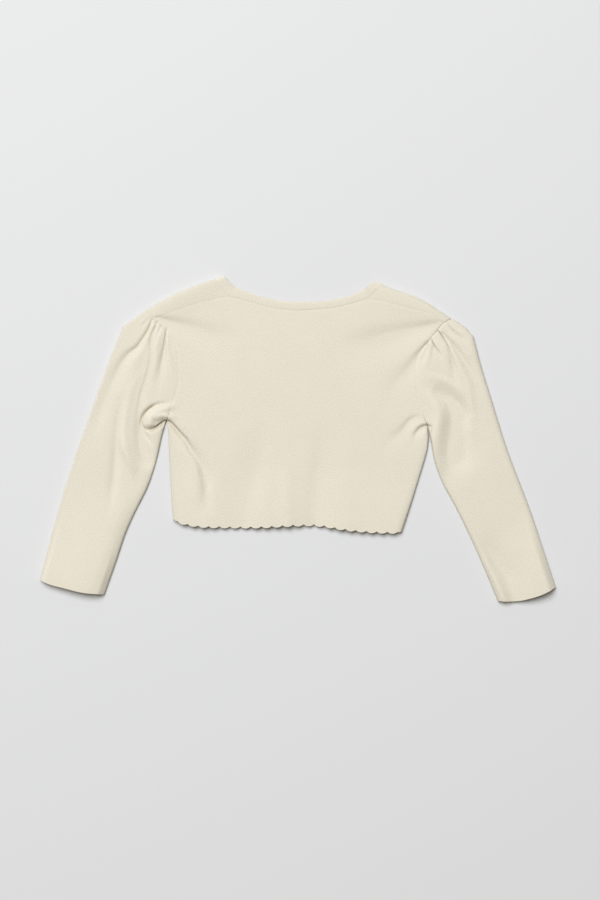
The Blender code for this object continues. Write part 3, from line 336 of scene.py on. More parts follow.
    [(-11.7, -24.3, 0.3, 8), (-11.7, -53.2, 1, 8), (-10.7, -94.2, 1.2, 8)],
    [(-94.5, -58.0, 0.3, 9, 6), (-96.4, -77.3, 0.6, 9, 6), (-96.4, -94.2, 0.7, 9, 6)],
    [(50.9, -48.4, 0.3, 12), (50.9, -96.6, 0.6, 12)],
)]


def soft_fold(start, middle, end, heights, widths):
    """A fold of three knots; heights and widths are those of its two ends."""
    knots = []
    for (x, y), share in ((start, 0.0), (middle, 0.5), (end, 1.0)):
        knots.append(knot(x, y, between(*heights, share), between(*widths, share)))
    return knots


# Folds of the layer underneath: where it stands off the board.
UNDERSIDE_FOLDS = [soft_fold(*row) for row in (
    # Left front.
    ((-128, -20), (-114.3, 12.6), (-92, 40), (0.5, 0.2), (4, 7)),
    ((-110, 62), (-87.4, 76.0), (-70, 96), (0.6, 0.3), (3, 6)),
    ((-88, -84), (-87.0, -52.6), (-80, -22), (0.6, 0.1), (6, 9)),
    ((-48, -86), (-47.0, -62.7), (-52, -40), (0.5, 0.1), (7, 9)),
    ((-132, 30), (-117.3, 26.9), (-104, 20), (0.6, 0.2), (2.5, 5)),
    ((-60, 10), (-51.7, 41.5), (-36, 70), (0.4, 0.2), (6, 8)),
    # Right front.
    ((126, -28), (116.6, 5.1), (98, 34), (0.5, 0.2), (4, 7)),
    ((112, 56), (90.3, 70.0), (74, 90), (0.6, 0.3), (3, 6)),
    ((84, -92), (82.0, -60.5), (74, -30), (0.5, 0.1), (6, 10)),
    ((38, -88), (38.0, -66.6), (44, -46), (0.6, 0.1), (7, 9)),
    ((128, 24), (113.2, 19.8), (100, 12), (0.6, 0.2), (2.5, 5)),
    ((54, 4), (45.7, 34.5), (30, 62), (0.4, 0.2), (6, 8)),
    # Gathers and soft folds of the sleeves.
    ((-138, 112), (-146.3, 87.7), (-160, 66), (0.9, 0.3), (2.2, 5)),
    ((-128, 96), (-135.2, 77.1), (-146, 60), (0.8, 0.3), (2.2, 5)),
    ((-122, 74), (-130.3, 57.9), (-142, 44), (0.7, 0.2), (2.4, 5)),
    ((-172, 70), (-188.9, 25.9), (-200, -20), (0.6, 0.3), (5, 8)),
    ((-158, 10), (-170.4, -26.7), (-190, -60), (0.8, 0.2), (4, 8)),
    ((-206, -60), (-218.9, -94.2), (-226, -130), (0.5, 0.2), (6, 9)),
    ((140, 104), (148.3, 79.7), (162, 58), (0.9, 0.3), (2.2, 5)),
    ((130, 90), (137.2, 70.1), (148, 52), (0.8, 0.3), (2.2, 5)),
    ((123, 68), (130.8, 51.9), (142, 38), (0.7, 0.2), (2.4, 5)),
    ((170, 62), (185.9, 19.9), (196, -24), (0.6, 0.3), (5, 8)),
    ((154, 6), (165.3, -31.5), (184, -66), (0.8, 0.2), (4, 8)),
    ((204, -66), (217.9, -99.1), (226, -134), (0.5, 0.2), (6, 9)),
)]

# How far the upper half of a sleeve stands off the lower half along its middle.
Loft = namedtuple("Loft", "along height")
SLEEVE_LOFT = [Loft(0.0, 0.0), Loft(0.06, 1.3), Loft(0.15, 1.7), Loft(0.35, 1.2), Loft(0.7, 0.8),
               Loft(1.0, 0.7)]
LOFT_FULLNESS = 0.6        # below 1 the loft is broad, with steep sides
LOFT_SKEW = 0.4            # below 1 the loft is highest near the outer fold


# ---- Lines ----

def smooth(points, steps=12):
    """A dense smooth line through a table of points."""
    knots = np.array(points, float)
    spans = np.diff(knots, axis=0)
    lengths = np.linalg.norm(spans, axis=1)[:, None]
    slopes = spans / lengths
    middle = (slopes[:-1] * lengths[1:] + slopes[1:] * lengths[:-1]) / (lengths[:-1] + lengths[1:])
    tangents = np.vstack([slopes[:1], middle, slopes[-1:]])
    t = np.linspace(0.0, 1.0, steps, endpoint=False)[:, None]
    pieces = []
    for a, b, slope_a, slope_b, length in zip(knots, knots[1:], tangents, tangents[1:], lengths):
        pieces.append((2 * t**3 - 3 * t**2 + 1) * a + (3 * t**2 - 2 * t**3) * b
                      + (t**3 - 2 * t**2 + t) * length * slope_a + (t**3 - t**2) * length * slope_b)
    return np.vstack(pieces + [knots[-1:]])


def distances(line):
    """Each point's distance along the line."""
    steps = np.linalg.norm(np.diff(line, axis=0), axis=1)
    return np.concatenate([[0.0], np.cumsum(steps)])


def shares(line):
    """The same as a share of the line's length."""
    along = distances(line)
    return along / along[-1]


def at(line, places):
    """Points at the given distances along a line."""
    along = distances(line)
    return np.stack([np.interp(places, along, line[:, k]) for k in range(line.shape[1])], axis=1)


def divided(line, cells, first=0.0, last=0.0):
    """Cut a line into even cells, with two finer ones more at an end that rounds over.

    first and last are the radii of that rounding; zero is none.
    """
    whole = distances(line)[-1]
    start = WALL / 2 + first if first else 0.0
    stop = WALL / 2 + last if last else 0.0
    places = list(np.linspace(start, whole - stop, cells + 1))
    if first:
        places = [0.0, WALL / 2 + ROLL_STOP * first] + places
    if last:
        places += [whole - WALL / 2 - ROLL_STOP * last, whole]
    return at(line, places)


def chain(*lines):
    """Join lines end to end."""
    return np.vstack([lines[0]] + [line[1:] for line in lines[1:]])


def unit(vectors):
    return vectors / np.linalg.norm(vectors, axis=-1)[..., None]


def sideways(line):
    """Unit vectors to the left of the line at each point."""
    run = unit(np.gradient(line, axis=0))
    return np.stack([-run[:, 1], run[:, 0]], axis=1)


def inward(edge, towards):
    """Unit vectors square to a line, on the side of the given points."""
    across = sideways(edge)
    return across * np.sign(np.sum(across * (towards - edge), axis=1))[:, None]


def nearest(points, line):
    """Distance from each point to a line, and the place of the nearest spot, from 0 to 1."""
    best = np.full(points.shape[:-1], np.inf)
    place = np.zeros(points.shape[:-1])
    for i, (a, b) in enumerate(zip(line, line[1:])):
        share = np.clip(((points - a) @ (b - a)) / ((b - a) @ (b - a)), 0.0, 1.0)
        gap = np.linalg.norm(points - a - share[..., None] * (b - a), axis=-1)
        closer = gap < best
        best = np.where(closer, gap, best)
        place = np.where(closer, (i + share) / (len(line) - 1), place)
    return best, place


# ---- Plan grids ----

def fill(first, last, start, end, gaps):
    """Fill in points between four lines that share corners (a Coons patch).

    Rows run from the line first to the line last, and each row from start to end. The gaps
    (for first, last, start and end) draw the lines in from the seams and folds they stand for.
    """
    lines = [first, last, start, end]
    loop = np.vstack([first, end, last[::-1], start[::-1]])
    x, y = loop[:, 0], loop[:, 1]
    turn = np.sign(np.sum(x * np.roll(y, -1) - y * np.roll(x, -1)))
    moves = []
    for line, sign, gap in zip(lines, (1, -1, -1, 1), gaps):
        moves.append(turn * sign * np.broadcast_to(gap, len(line))[:, None] * sideways(line))
    for a, b, i, j in ((0, 2, 0, 0), (0, 3, -1, 0), (1, 2, 0, -1), (1, 3, -1, -1)):
        moves[a][i] = moves[b][j] = moves[a][i] + moves[b][j]
    u = ((shares(first) + shares(last)) / 2)[None, :, None]
    v = ((shares(start) + shares(end)) / 2)[:, None, None]
    first, last, start, end = (line + move for line, move in zip(lines, moves))
    across = (1 - v) * first[None] + v * last[None]
    along = (1 - u) * start[:, None] + u * end[:, None]
    corners = ((1 - v) * ((1 - u) * first[0] + u * first[-1])
               + v * ((1 - u) * last[0] + u * last[-1]))
    return across + along - corners


def square_up(points, underarm=None):
    """Set the fine columns beside a folded start at right angles to it."""
    edge = points[:, 0]
    reach = np.array(radius(edge, underarm))[..., None] * inward(edge, points[:, -1])
    points[1:-1, 1] = (edge + ROLL_STOP * reach)[1:-1]
    points[1:-1, 2] = (edge + reach)[1:-1]


def cells_of(points, axis, size, least=()):
    """How many cells of a size each cell of a plan grid is cut into.

    least holds pairs of a plan cell and the fewest cells that it is cut into.
    """
    lengths = np.linalg.norm(np.diff(points, axis=axis), axis=-1).mean(axis=1 - axis)
    cells = np.maximum(1, np.ceil(lengths / size)).astype(int)
    for place, number in least:
        cells[place] = max(cells[place], number)
    return cells


def rounded_cells(place, step=1):
    """The fewest cells that the plan cells are cut into which round over at a fold."""
    return [(place + step * i, number) for i, number in enumerate(ROUNDED_FINENESS)]


def finer(points, row_cells, column_cells):
    """Cut every cell of a plan grid into smaller ones."""
    for axis, cells in ((0, row_cells), (1, column_cells)):
        places = np.concatenate([i + np.arange(n) / n for i, n in enumerate(cells)]
                                + [[float(len(cells))]])
        low = np.minimum(places.astype(int), len(cells) - 1)
        share = (places - low).reshape((-1, 1, 1) if axis == 0 else (1, -1, 1))
        points = between(np.take(points, low, axis), np.take(points, low + 1, axis), share)
    return points


# ---- Heights ----

NECKLINE = np.array([point for point in LEFT.front_edge[::-1] + RIGHT.front_edge
                     if point[1] > NECK_BOTTOM])


def bell(gap, width):
    """1 on a line, falling softly to nothing within a few widths."""
    return np.exp(-(gap / width) ** 2)


def ease(share):
    """A smooth step from 0 to 1."""
    return share ** 2 * (3 - 2 * share)


def rise(gap, width):
    """A quarter round: 0 on a fold line, and 1 from the given width on."""
    share = np.clip(gap / width, 0.0, 1.0)
    return np.sqrt(1.0 - (1.0 - share) ** 2)


def lifted(distance):
    """How far a free edge's lift is felt at a distance from it, from 1 to 0."""
    return ease(np.clip(1.0 - distance / LIFT_LENGTH, 0.0, 1.0))


def radius(points, underarm=None):
    """The radius of a folded edge, which is wider at the underarm."""
    if underarm is None:
        return ROLL
    apart = np.linalg.norm(points - underarm, axis=-1)
    return between(ROLL, UNDERARM_ROLL, bell(apart, UNDERARM_REACH))


def rounding(points, fold, underarm=None):
    """0 on a fold line, and 1 once the layer is clear of its rounding."""
    return rise(nearest(points, fold)[0], radius(points, underarm))


def soft_edge(points, fold, width, underarm=None):
    """The rise of the upper layer beside a fold: quick at first, then wide and soft."""
    if underarm is not None:
        apart = np.linalg.norm(points - underarm, axis=-1)
        width = between(width, UNDERARM_EDGE, bell(apart, UNDERARM_REACH))
    gap = nearest(points, fold)[0]
    return between(rise(gap, width), rise(gap, ROLL), EDGE_QUICK)


def seam_dip(points, seam):
    """The groove along a seam."""
    return SEAM_DIP * bell(nearest(points, seam)[0], SEAM_DIP_WIDTH)


def beside(points, fold):
    """Where a fold is felt: a mask of the points, and for those their height and sideways move."""
    line = smooth(fold, FOLD_STEPS)
    path, values = line[:, :2], line[:, 2:]
    reach = FOLD_REACH * values[:, 1:3].max()
    close = np.all((points > path.min(axis=0) - reach) & (points < path.max(axis=0) + reach),
                   axis=-1)
    near = points[close]
    gap, place = nearest(near, path)
    number = np.minimum((place * (len(path) - 1)).astype(int), len(path) - 2)
    run = path[number + 1] - path[number]
    offset = near - path[number]
    is_left = run[:, 0] * offset[:, 1] > run[:, 1] * offset[:, 0]
    along = np.linspace(0.0, 1.0, len(path))
    height, left, right, lean = (np.interp(place, along, column) for column in values.T)
    height *= bell(gap, np.where(is_left, left, right))
    lean *= is_left * bell(gap, LEAN_REACH)
    to_right = unit(np.stack([run[:, 1], -run[:, 0]], axis=-1))
    return close, height, lean[:, None] * to_right


def relief(points, folds):
    """Sum of a table of folds at flat points."""
    total = np.zeros(points.shape[:-1])
    for fold in folds:
        close, height, _ = beside(points, fold)
        total[close] += height
    return total


def leaning(points, heights):
    """Move the raised cloth beside the folds that lean over, so that it overhangs them."""
    moved = points.copy()
    raised_share = np.clip((heights - LOWEST) / (UPPER - LOWEST), 0.0, LEAN_MOST)
    for fold in FOLDS:
        if any(point.lean for point in fold):
            close, _, move = beside(points, fold)
            moved[close] += raised_share[close][:, None] * move
    return moved


def upper_level(points, lift=0.0):
    """Height of the middle of the upper layer."""
    level = UPPER + relief(points, FOLDS) + lift
    level = LOWEST + LOWEST_SOFTNESS * np.logaddexp(0.0, (level - LOWEST) / LOWEST_SOFTNESS)
    inside = points[..., 1] > np.interp(points[..., 0], NECKLINE[:, 0], NECKLINE[:, 1])
    share = np.clip(nearest(points, NECKLINE)[0] / SAG_LENGTH, 0.0, 1.0) * inside
    return level - NECK_SAG * ease(share)


def lower_level(points):
    """Height of the middle of the lower layer, which rests on the board between its folds."""
    raised_by = np.maximum(relief(points, UNDERSIDE_FOLDS), 0.0)
    return np.minimum(LOWER + raised_by, np.maximum(upper_level(points) - WALL, LOWER))


def raised(points, heights):
    """Flat points set at their heights."""
    return np.concatenate([points, heights[..., None]], axis=-1)


# ---- Meshes ----

SHARP_RIM = math.radians(70.0)
FOLD_SHADE_WIDTH = 2.6           # painted shade: the cloth is a little greyer within this width of a fold
CLOTH_SUFFIX = "_cloth"    # after the name of the solid that a piece stands for


def painted_fold_shade(points, *folds):
    """How much painted shade the nearest fold lays on the cloth: 1 on its line."""
    return bell(np.min([nearest(points, fold)[0] for fold in folds], axis=0), FOLD_SHADE_WIDTH)


def cloth(name, points, knit, fold_shade=None, wall=WALL, tube=False):
    """Make a wall of cloth through a grid of points.

    knit gives the places in the knit, and a tube's last column is its first one.
    """
    rows, columns = points.shape[:2]
    numbers = np.arange(rows * columns).reshape(rows, columns)
    if tube:
        numbers = np.concatenate([numbers[:, :-1], numbers[:, :1]], axis=1)
    corners = np.stack([numbers[:-1, :-1], numbers[:-1, 1:], numbers[1:, 1:], numbers[1:, :-1]],
                       axis=-1).reshape(-1, 4)
    used = np.unique(corners)
    renumbered = np.zeros(rows * columns, int)
    renumbered[used] = np.arange(len(used))
    places = (points.reshape(-1, 3)[used] - ORIGIN) * MM
    mesh = bpy.data.meshes.new(name)
    mesh.from_pydata(places.tolist(), [], renumbered[corners].tolist())
    layer = mesh.uv_layers.new(name="Knit")
    layer.data.foreach_set("uv", knit.reshape(-1, 2)[corners.ravel()].astype(np.float32).ravel())
    # Painted shade along the folds, kept on the points for the material.
    if fold_shade is not None:
        attribute = mesh.attributes.new("Wear", "FLOAT", "POINT")
        attribute.data.foreach_set("value", fold_shade.ravel()[used])
    mesh.shade_smooth()
    piece = bpy.data.objects.new(name + CLOTH_SUFFIX, mesh)
    bpy.context.scene.collection.objects.link(piece)
    solidify = piece.modifiers.new("wall", "SOLIDIFY")
    solidify.thickness = wall * MM
    solidify.offset = 0.0
    evaluated = piece.evaluated_get(bpy.context.evaluated_depsgraph_get())
    piece.data = bpy.data.meshes.new_from_object(evaluated)
    piece.modifiers.clear()
    piece.data.set_sharp_from_angle(angle=SHARP_RIM)
    return piece


# ---- Seam lines that two pieces share ----

def side_seam(side):
    """From the hem to the underarm."""
    return divided(smooth(side.side_fold), SIDE_CELLS)


def back_armhole(side):
    """From the underarm to the shoulder seam."""
    return divided(smooth(side.armhole_back)[::-1], ARMHOLE_CELLS, first=UNDERARM_ROLL)


def front_armhole(side):
    """From the underarm to the shoulder fold."""
    return divided(smooth(side.armhole_front)[::-1], ARMHOLE_CELLS - 1, first=UNDERARM_ROLL,
                   last=ROLL)


def shoulder_seam(side):
    """From the armhole to the neck."""
    return divided(smooth(side.shoulder_seam), SHOULDER_CELLS, first=ROLL)


def front_edge(side):
    """From the hem to the shoulder fold, where a front meets its band."""
    return divided(smooth(side.front_edge), SIDE_CELLS + ARMHOLE_CELLS + 1, last=ROLL)


def armhole_gap(line):
    """Half the gap along an armhole: wider at the underarm, where the walls turn side by side."""
    gap = SEAM_GAP / 2 + WALL / 2 * np.exp(-distances(line) / UNDERARM_ROLL)
    gap[0] = SEAM_GAP / 2
    return gap


def side_and_armhole_gap(seam, armhole):
    """The same from the hem to the shoulder, where the side's fold is half a wall further in."""
    gap = np.concatenate([np.full(len(seam) - 1, WALL / 2), armhole_gap(armhole)])
    gap[len(seam) - 1] += WALL / 2
    return gap


# ---- Back and fronts ----

AT_START = rounded_cells(0)
AT_BOTH_ENDS = AT_START + rounded_cells(-1, -1)


def scalloped(points, cells, depths):
    """Bulge the first rows of a piece outwards in an arc to each plan cell, fading up the cloth."""
    share = np.concatenate([np.arange(n) / n for n in cells] + [[0.0]])
    depth = np.append(np.repeat(depths, cells), 0.0)
    out = -inward(points[0], points[-1])
    felt = ease(np.clip(1.0 - distances(points[:, 0]) / SCALLOP_REACH, 0.0, 1.0))
    bulge = depth * 4 * share * (1 - share)
    return points + (felt[:, None] * bulge)[..., None] * out


def back_hem():
    """The back's hem, cut where its ends round over and at its cusps, and the scallops' depths."""
    line = smooth(BACK_HEM)
    length = distances(line)[-1]
    corner = [0.0, WALL / 2 + ROLL_STOP * ROLL, WALL / 2 + ROLL]
    cusps = np.linspace(FIRST_CUSP, length - LAST_CUSP, SCALLOPS + 1)
    places = np.concatenate([corner, cusps, [length - place for place in reversed(corner)]])
    depths = SCALLOP_DEPTH * np.diff(places) / np.diff(cusps)[0]
    depths[:ROUNDED_CELLS] = depths[-ROUNDED_CELLS:] = 0.0
    return at(line, places), depths


def make_back():
    """The back, with its sides turned under down to the hem."""
    hem, depths = back_hem()
    top = chain(shoulder_seam(LEFT), divided(smooth(BACK_NECK), NECK_CELLS),
                shoulder_seam(RIGHT)[::-1])
    seams = [(side_seam(side), back_armhole(side)) for side in (LEFT, RIGHT)]
    gaps = [side_and_armhole_gap(*seam) for seam in seams]
    left, right = (chain(*seam) for seam in seams)
    plan = fill(hem, top, left, right, (0.0, SEAM_GAP / 2, *gaps))
    for half in (plan, plan[:, ::-1]):
        square_up(half)

    row_sizes = np.full(len(plan) - 1, WIDE_CELL)
    row_sizes[FINE_ROWS] = CAP_CELL
    column_sizes = np.full(plan.shape[1] - 1, WIDE_CELL)
    column_sizes[:FINE_COLUMNS] = column_sizes[-FINE_COLUMNS:] = CAP_CELL
    columns = cells_of(plan, 1, column_sizes, AT_BOTH_ENDS)
    points = finer(plan, cells_of(plan, 0, row_sizes), columns)

    lift = HEM_LIFT * lifted(distances(points[:, 0]))
    heights = upper_level(points, lift[:, None])
    for seam in (top, left[SIDE_CELLS:], right[SIDE_CELLS:]):
        heights -= seam_dip(points, seam)
    folds = plan[:SIDE_CELLS + 1, 0], plan[:SIDE_CELLS + 1, -1]
    for fold, width in zip(folds, (TIGHT_EDGE, ROUND_EDGE)):
        turn = soft_edge(points, fold, width, underarm=fold[-1])
        heights = between(FOLDED_EDGE + SIDE_SEAM_GAP / 2, heights, turn)
    points = scalloped(points, columns, depths)
    placed = raised(leaning(points, heights), heights)
    return cloth("back_panel", placed, points, painted_fold_shade(points, *folds))


def front_plan(side):
    """Rows from the hem under the garment to the shoulder fold, and over it to the seam."""
    hem = divided(smooth(side.front_hem), FRONT_SCALLOPS, first=ROLL)
    fold = divided(smooth(side.shoulder_fold), FRONT_SCALLOPS, first=ROLL)
    seams = side_seam(side), front_armhole(side)
    half_gap = SEAM_GAP / 2
    gaps = (0.0, WALL / 2, side_and_armhole_gap(*seams), half_gap)
    lower = fill(hem, fold, chain(*seams), front_edge(side), gaps)
    square_up(lower)
    square_up(lower[::-1].transpose(1, 0, 2))

    # The strip between the fold and the seam on the back. It begins over the lower layer's
    # last rows, and its ends follow the armhole and the neck.
    fold = lower[-1]
    seam = divided(shoulder_seam(side), FRONT_SCALLOPS, first=ROLL)
    seam = seam + half_gap * unit(fold - seam)
    seam[0] += half_gap * unit(seam[1] - seam[0])
    seam[-1] -= half_gap * unit(seam[-1] - seam[-2])
    rows = []
    for row, share in ((-2, ROLL_STOP), (-3, 1.0)):
        rows.append(lower[row].copy())
        for column in (0, -1):
            rows[-1][column] = fold[column] + share * ROLL * unit(seam[column] - fold[column])
    rows += [(rows[-1] + seam) / 2, seam]
    return np.concatenate([lower, np.array(rows)])


def make_front(side):
    """A front: underneath as far as the shoulder fold, and a strip of it on the back."""
    plan = front_plan(side)
    plan_row = len(plan) - 1 - STRIP_ROWS
    rows = cells_of(plan, 0, HIDDEN_CELL, rounded_cells(plan_row - 1, -1))
    rows[plan_row:] = cells_of(plan[plan_row:], 0, TOP_CELL, AT_START)
    columns = cells_of(plan, 1, TOP_CELL, AT_START)
    points = finer(plan, rows, columns)
    fold_row = rows[:plan_row].sum()
    fold = points[fold_row]
    side_fold = plan[:SIDE_CELLS + 1, 0]
    heights = between(FOLDED_EDGE - SIDE_SEAM_GAP / 2, lower_level(points),
                      rounding(points, side_fold, underarm=side_fold[-1]))
    heights = between(FOLDED_EDGE, heights, rounding(points, fold))
    over = between(FOLDED_EDGE, upper_level(points) - seam_dip(points, points[-1]),
                   soft_edge(points, fold, TIGHT_EDGE))
    heights[fold_row:] = over[fold_row:]
    depths = [0.0] * ROUNDED_CELLS + [SCALLOP_DEPTH] * FRONT_SCALLOPS
    points = scalloped(points, columns, depths)
    fold_shade = painted_fold_shade(points, fold, side_fold)
    return cloth("front_" + side.name, raised(points, heights), points, fold_shade)


# ---- Sleeves ----

def sleeve_ring(side):
    """The upper half's armhole: the short strip from the shoulder fold, then down the back."""
    strip = divided(np.array([side.armhole_front[0], side.armhole_back[0]], float), 1, first=ROLL)
    seam = back_armhole(side)[::-1]
    gathers = seam[:GATHERED_CELLS + 1]
    plain = seam[GATHERED_CELLS:-ROUNDED_CELLS]
    return chain(strip, divided(gathers, GATHERED_CELLS * GATHER_FINENESS),
                 divided(plain, (len(plain) - 1) * PLAIN_FINENESS), seam[-1 - ROUNDED_CELLS:])


def sleeve_half(ring, cuff, outer, inner):
    """Rows across one half of a sleeve, from its armhole to the cuff.

    Each row is a straight section between the folds, bent near the armhole towards its curve.
    """
    quarter = len(outer) // 4
    middle = (outer[quarter] + inner[quarter]) / 2
    outer_move = WALL / 2 * inward(outer, inner)
    inner_move = WALL / 2 * inward(inner, outer)
    gap = armhole_gap(ring[::-1])[::-1]
    gap[1:] += FOLD_LEAN * np.exp(-distances(ring)[1:] / FOLD_LEAN_LENGTH)
    ring = ring + gap[:, None] * inward(ring, middle)
    ring[0] += outer_move[0]
    ring[-1] += inner_move[0]
    cuff = cuff.copy()
    cuff[0] += outer_move[-1]
    cuff[-1] += inner_move[-1]
    outer = np.vstack([ring[:1], (outer + outer_move)[1:]])
    inner = np.vstack([ring[-1:], (inner + inner_move)[1:]])

    down = distances(inner)[:, None]
    along = down / down[-1]
    share = between(shares(ring), shares(cuff), along)[..., None]
    sections = between(outer[:, None], inner[:, None], share)
    felt = np.exp(-down / (1.0 + RING_REACH * (1.0 - shares(ring)) ** 2)) * (1.0 - along)
    points = (sections + felt[..., None] * (ring - sections[0])
              + along[..., None] * (cuff - sections[-1]))
    square_up(points)
    square_up(points[:, ::-1], underarm=ring[-1])
    landing = ring + SEAM_LANDING * inward(ring, middle)
    for column, fold in ((0, outer), (-1, inner)):
        landing[column] = ring[column] + SEAM_LANDING * unit(fold[1] - fold[0])
    return np.vstack([points[:1], landing[None], points[1:]])


def sleeve_lift(side, points):
    """How far a sleeve's upper half is raised: its loft, and the opening of its cuff."""
    down = distances(points[:, -1])
    loft = np.interp(down / down[-1], *zip(*SLEEVE_LOFT))
    across = shares(points[-1])
    corner = ease(np.clip(np.minimum(across, 1 - across) / CUFF_CORNERS[side.name], 0.0, 1.0))
    cuff = corner * between(*CUFF_LIFTS[side.name], across)
    across = across ** LOFT_SKEW
    fullness = (4 * across * (1 - across)) ** LOFT_FULLNESS
    return loft[:, None] * fullness + lifted(down[-1] - down)[:, None] * cuff


def upper_sleeve(side, plan, points, ring):
    """The upper half at its heights, leaning over its folds."""
    outer_width, inner_width = SLEEVE_EDGES[side.name]
    turn = np.minimum(soft_edge(points, plan[:, 0], outer_width),
                      soft_edge(points, plan[:, -1], inner_width, underarm=plan[0, -1]))
    heights = upper_level(points, sleeve_lift(side, points)) - seam_dip(points, ring)
    heights = between(FOLDED_EDGE, heights, turn)
    placed = leaning(points, heights)
    placed[:, 0] = points[:, 0]
    placed[:, -1] = points[:, -1]
    return raised(placed, heights)


def lower_sleeve(plan, points):
    """The lower half at its heights."""
    turn = np.minimum(rounding(points, plan[:, 0]),
                      rounding(points, plan[:, -1], underarm=plan[0, -1]))
    return raised(points, between(FOLDED_EDGE, lower_level(points), turn))


def around(upper, lower):
    """Join the grids of both halves into one round the sleeve, whose last column is its first."""
    return np.concatenate([upper, lower[:, -2::-1]], axis=1)


def make_sleeve(side):
    """A sleeve, as one tube whose two halves lie on each other."""
    along = np.linspace(0.0, 1.0, SLEEVE_CELLS + 1) ** SECTION_POWER
    outer, inner = (smooth(line) for line in (side.outer_fold, side.inner_fold))
    outer, inner = (at(line, along * distances(line)[-1]) for line in (outer, inner))
    rings = sleeve_ring(side), front_armhole(side)[::-1]
    plans = []
    for ring in rings:
        even_cells = len(ring) - 1 - 2 * ROUNDED_CELLS
        cuff = divided(smooth(side.cuff), even_cells, first=ROLL, last=ROLL)
        plans.append(sleeve_half(ring, cuff, outer, inner))

    row_sizes = np.full(len(plans[0]) - 1, SLEEVE_CELL)
    row_sizes[:CAP_ROWS] = CAP_CELL
    rows = cells_of(plans[0], 0, row_sizes)
    halves = []
    for plan, size in zip(plans, (CAP_CELL, HIDDEN_CELL)):
        halves.append(finer(plan, rows, cells_of(plan, 1, size, AT_BOTH_ENDS)))
    upper = upper_sleeve(side, plans[0], halves[0], rings[0])
    lower = lower_sleeve(plans[1], halves[1])
    lower[:, 0] = upper[:, 0]

    down_axis = unit(outer[-1] + inner[-1] - outer[0] - inner[0])
    across_axis = np.array([-down_axis[1], down_axis[0]])
    knit = [points @ np.stack([across_axis, down_axis], 1) for points in halves]
    fold_shade = [painted_fold_shade(points, plan[:, 0], plan[:, -1]) for points, plan in zip(halves, plans)]
    return cloth("sleeve_" + side.name, around(upper, lower), around(*knit), around(*fold_shade),
                 tube=True)


# ---- Bands ----

def band_over_fold(side, other, corner):
    """A band's seam edge and free edge, from the back over the shoulder fold to the hem.

    corner is the band's free corner on the back, at the end of the back neck.
    """
    edge = front_plan(side)[::-1, -1]
    above, below = edge[:STRIP_ROWS + 1], edge[STRIP_ROWS:]
    away = inward(below, front_plan(other)[::-1, -1][STRIP_ROWS:])
    free_fold = side.band_fold + BAND_WALL / 2 * unit(corner - side.band_fold)
    join = np.array(side.shoulder_seam[-1])

    seam_above = above + SEAM_GAP * inward(above, corner)
    seam_below = below + SEAM_GAP * away
    seam_above[0] = join + SEAM_GAP * unit(corner - join)
    seam_below[0] = below[0] + SEAM_GAP * unit(free_fold - below[0])
    down = distances(seam_below)[:, None]
    free_above = between(corner, free_fold, shares(seam_above)[:, None])
    free_below = seam_below + BAND_WIDTH * away
    free_below += (free_fold - free_below[0]) * np.exp(-down / BAND_SETTLING)
    for line in (seam_below, free_below):   # the finer cells below the fold
        run = ROLL * unit(line[3] - line[0])
        line[1:3] = line[0] + ROLL_STOP * run, line[0] + run
    seam = np.vstack([seam_above[:-1], seam_below])
    free = np.vstack([free_above[:-1], free_below])
    return np.stack([seam, free])


def drawn_back(points, last=False):
    """Draw back the first end of a band, or both ends, where another one is joined on."""
    points = points.copy()
    points[:, 0] += SEAM_GAP / 2 * unit(points[:, 1] - points[:, 0])
    if last:
        points[:, -1] += SEAM_GAP / 2 * unit(points[:, -2] - points[:, -1])
    return points


def band(name, plan, above, fold_line=None):
    """A band of double knit with a soft crown.

    above is the number of its plan cells on the upper layer; fold_line is where it turns over
    the shoulder.
    """
    columns = cells_of(plan, 1, BAND_CELL)
    if fold_line is not None:
        columns[above:above + ROUNDED_CELLS] = BAND_FINENESS
    points = finer(plan, [BAND_ROWS], columns)
    rest = BAND_WALL / 2 + BAND_CROWN
    level = np.maximum(upper_level(points), rest)
    level[:, columns[:above].sum():] = rest
    if fold_line is not None:
        level = between(FOLDED_EDGE, level, rounding(points, fold_line))
    across = np.linspace(-1.0, 1.0, BAND_ROWS + 1)[:, None]
    level = level - BAND_CROWN * across ** 4
    knit = np.stack(np.broadcast_arrays(distances(points[0]), across * BAND_WIDTH / 2), axis=-1)
    return cloth(name, raised(points, level), knit, wall=BAND_WALL)


def make_bands():
    """The neck band, and the bands of both fronts."""
    seam = divided(smooth(BACK_NECK), NECK_CELLS)
    free = divided(smooth(BAND_EDGE), NECK_CELLS)
    seam = seam + SEAM_GAP / 2 * inward(seam, free)
    left = band_over_fold(LEFT, RIGHT, free[0])
    right = band_over_fold(RIGHT, LEFT, free[-1])
    seam[0] = left[0, 0]
    neck = np.stack([seam, free])
    join = STRIP_ROWS + ROUNDED_CELLS + JOIN_BELOW_FOLD
    back = np.concatenate([neck[:, :-1], right[:, :join + 1]], axis=1)
    return [
        band("neck_band_back", drawn_back(back, last=True), above=NECK_CELLS + STRIP_ROWS,
             fold_line=right[:, STRIP_ROWS]),
        band("front_band_left", drawn_back(left), above=STRIP_ROWS, fold_line=left[:, STRIP_ROWS]),
        band("front_band_right", drawn_back(right[:, join:]), above=0),
    ]


# ---- Materials ----

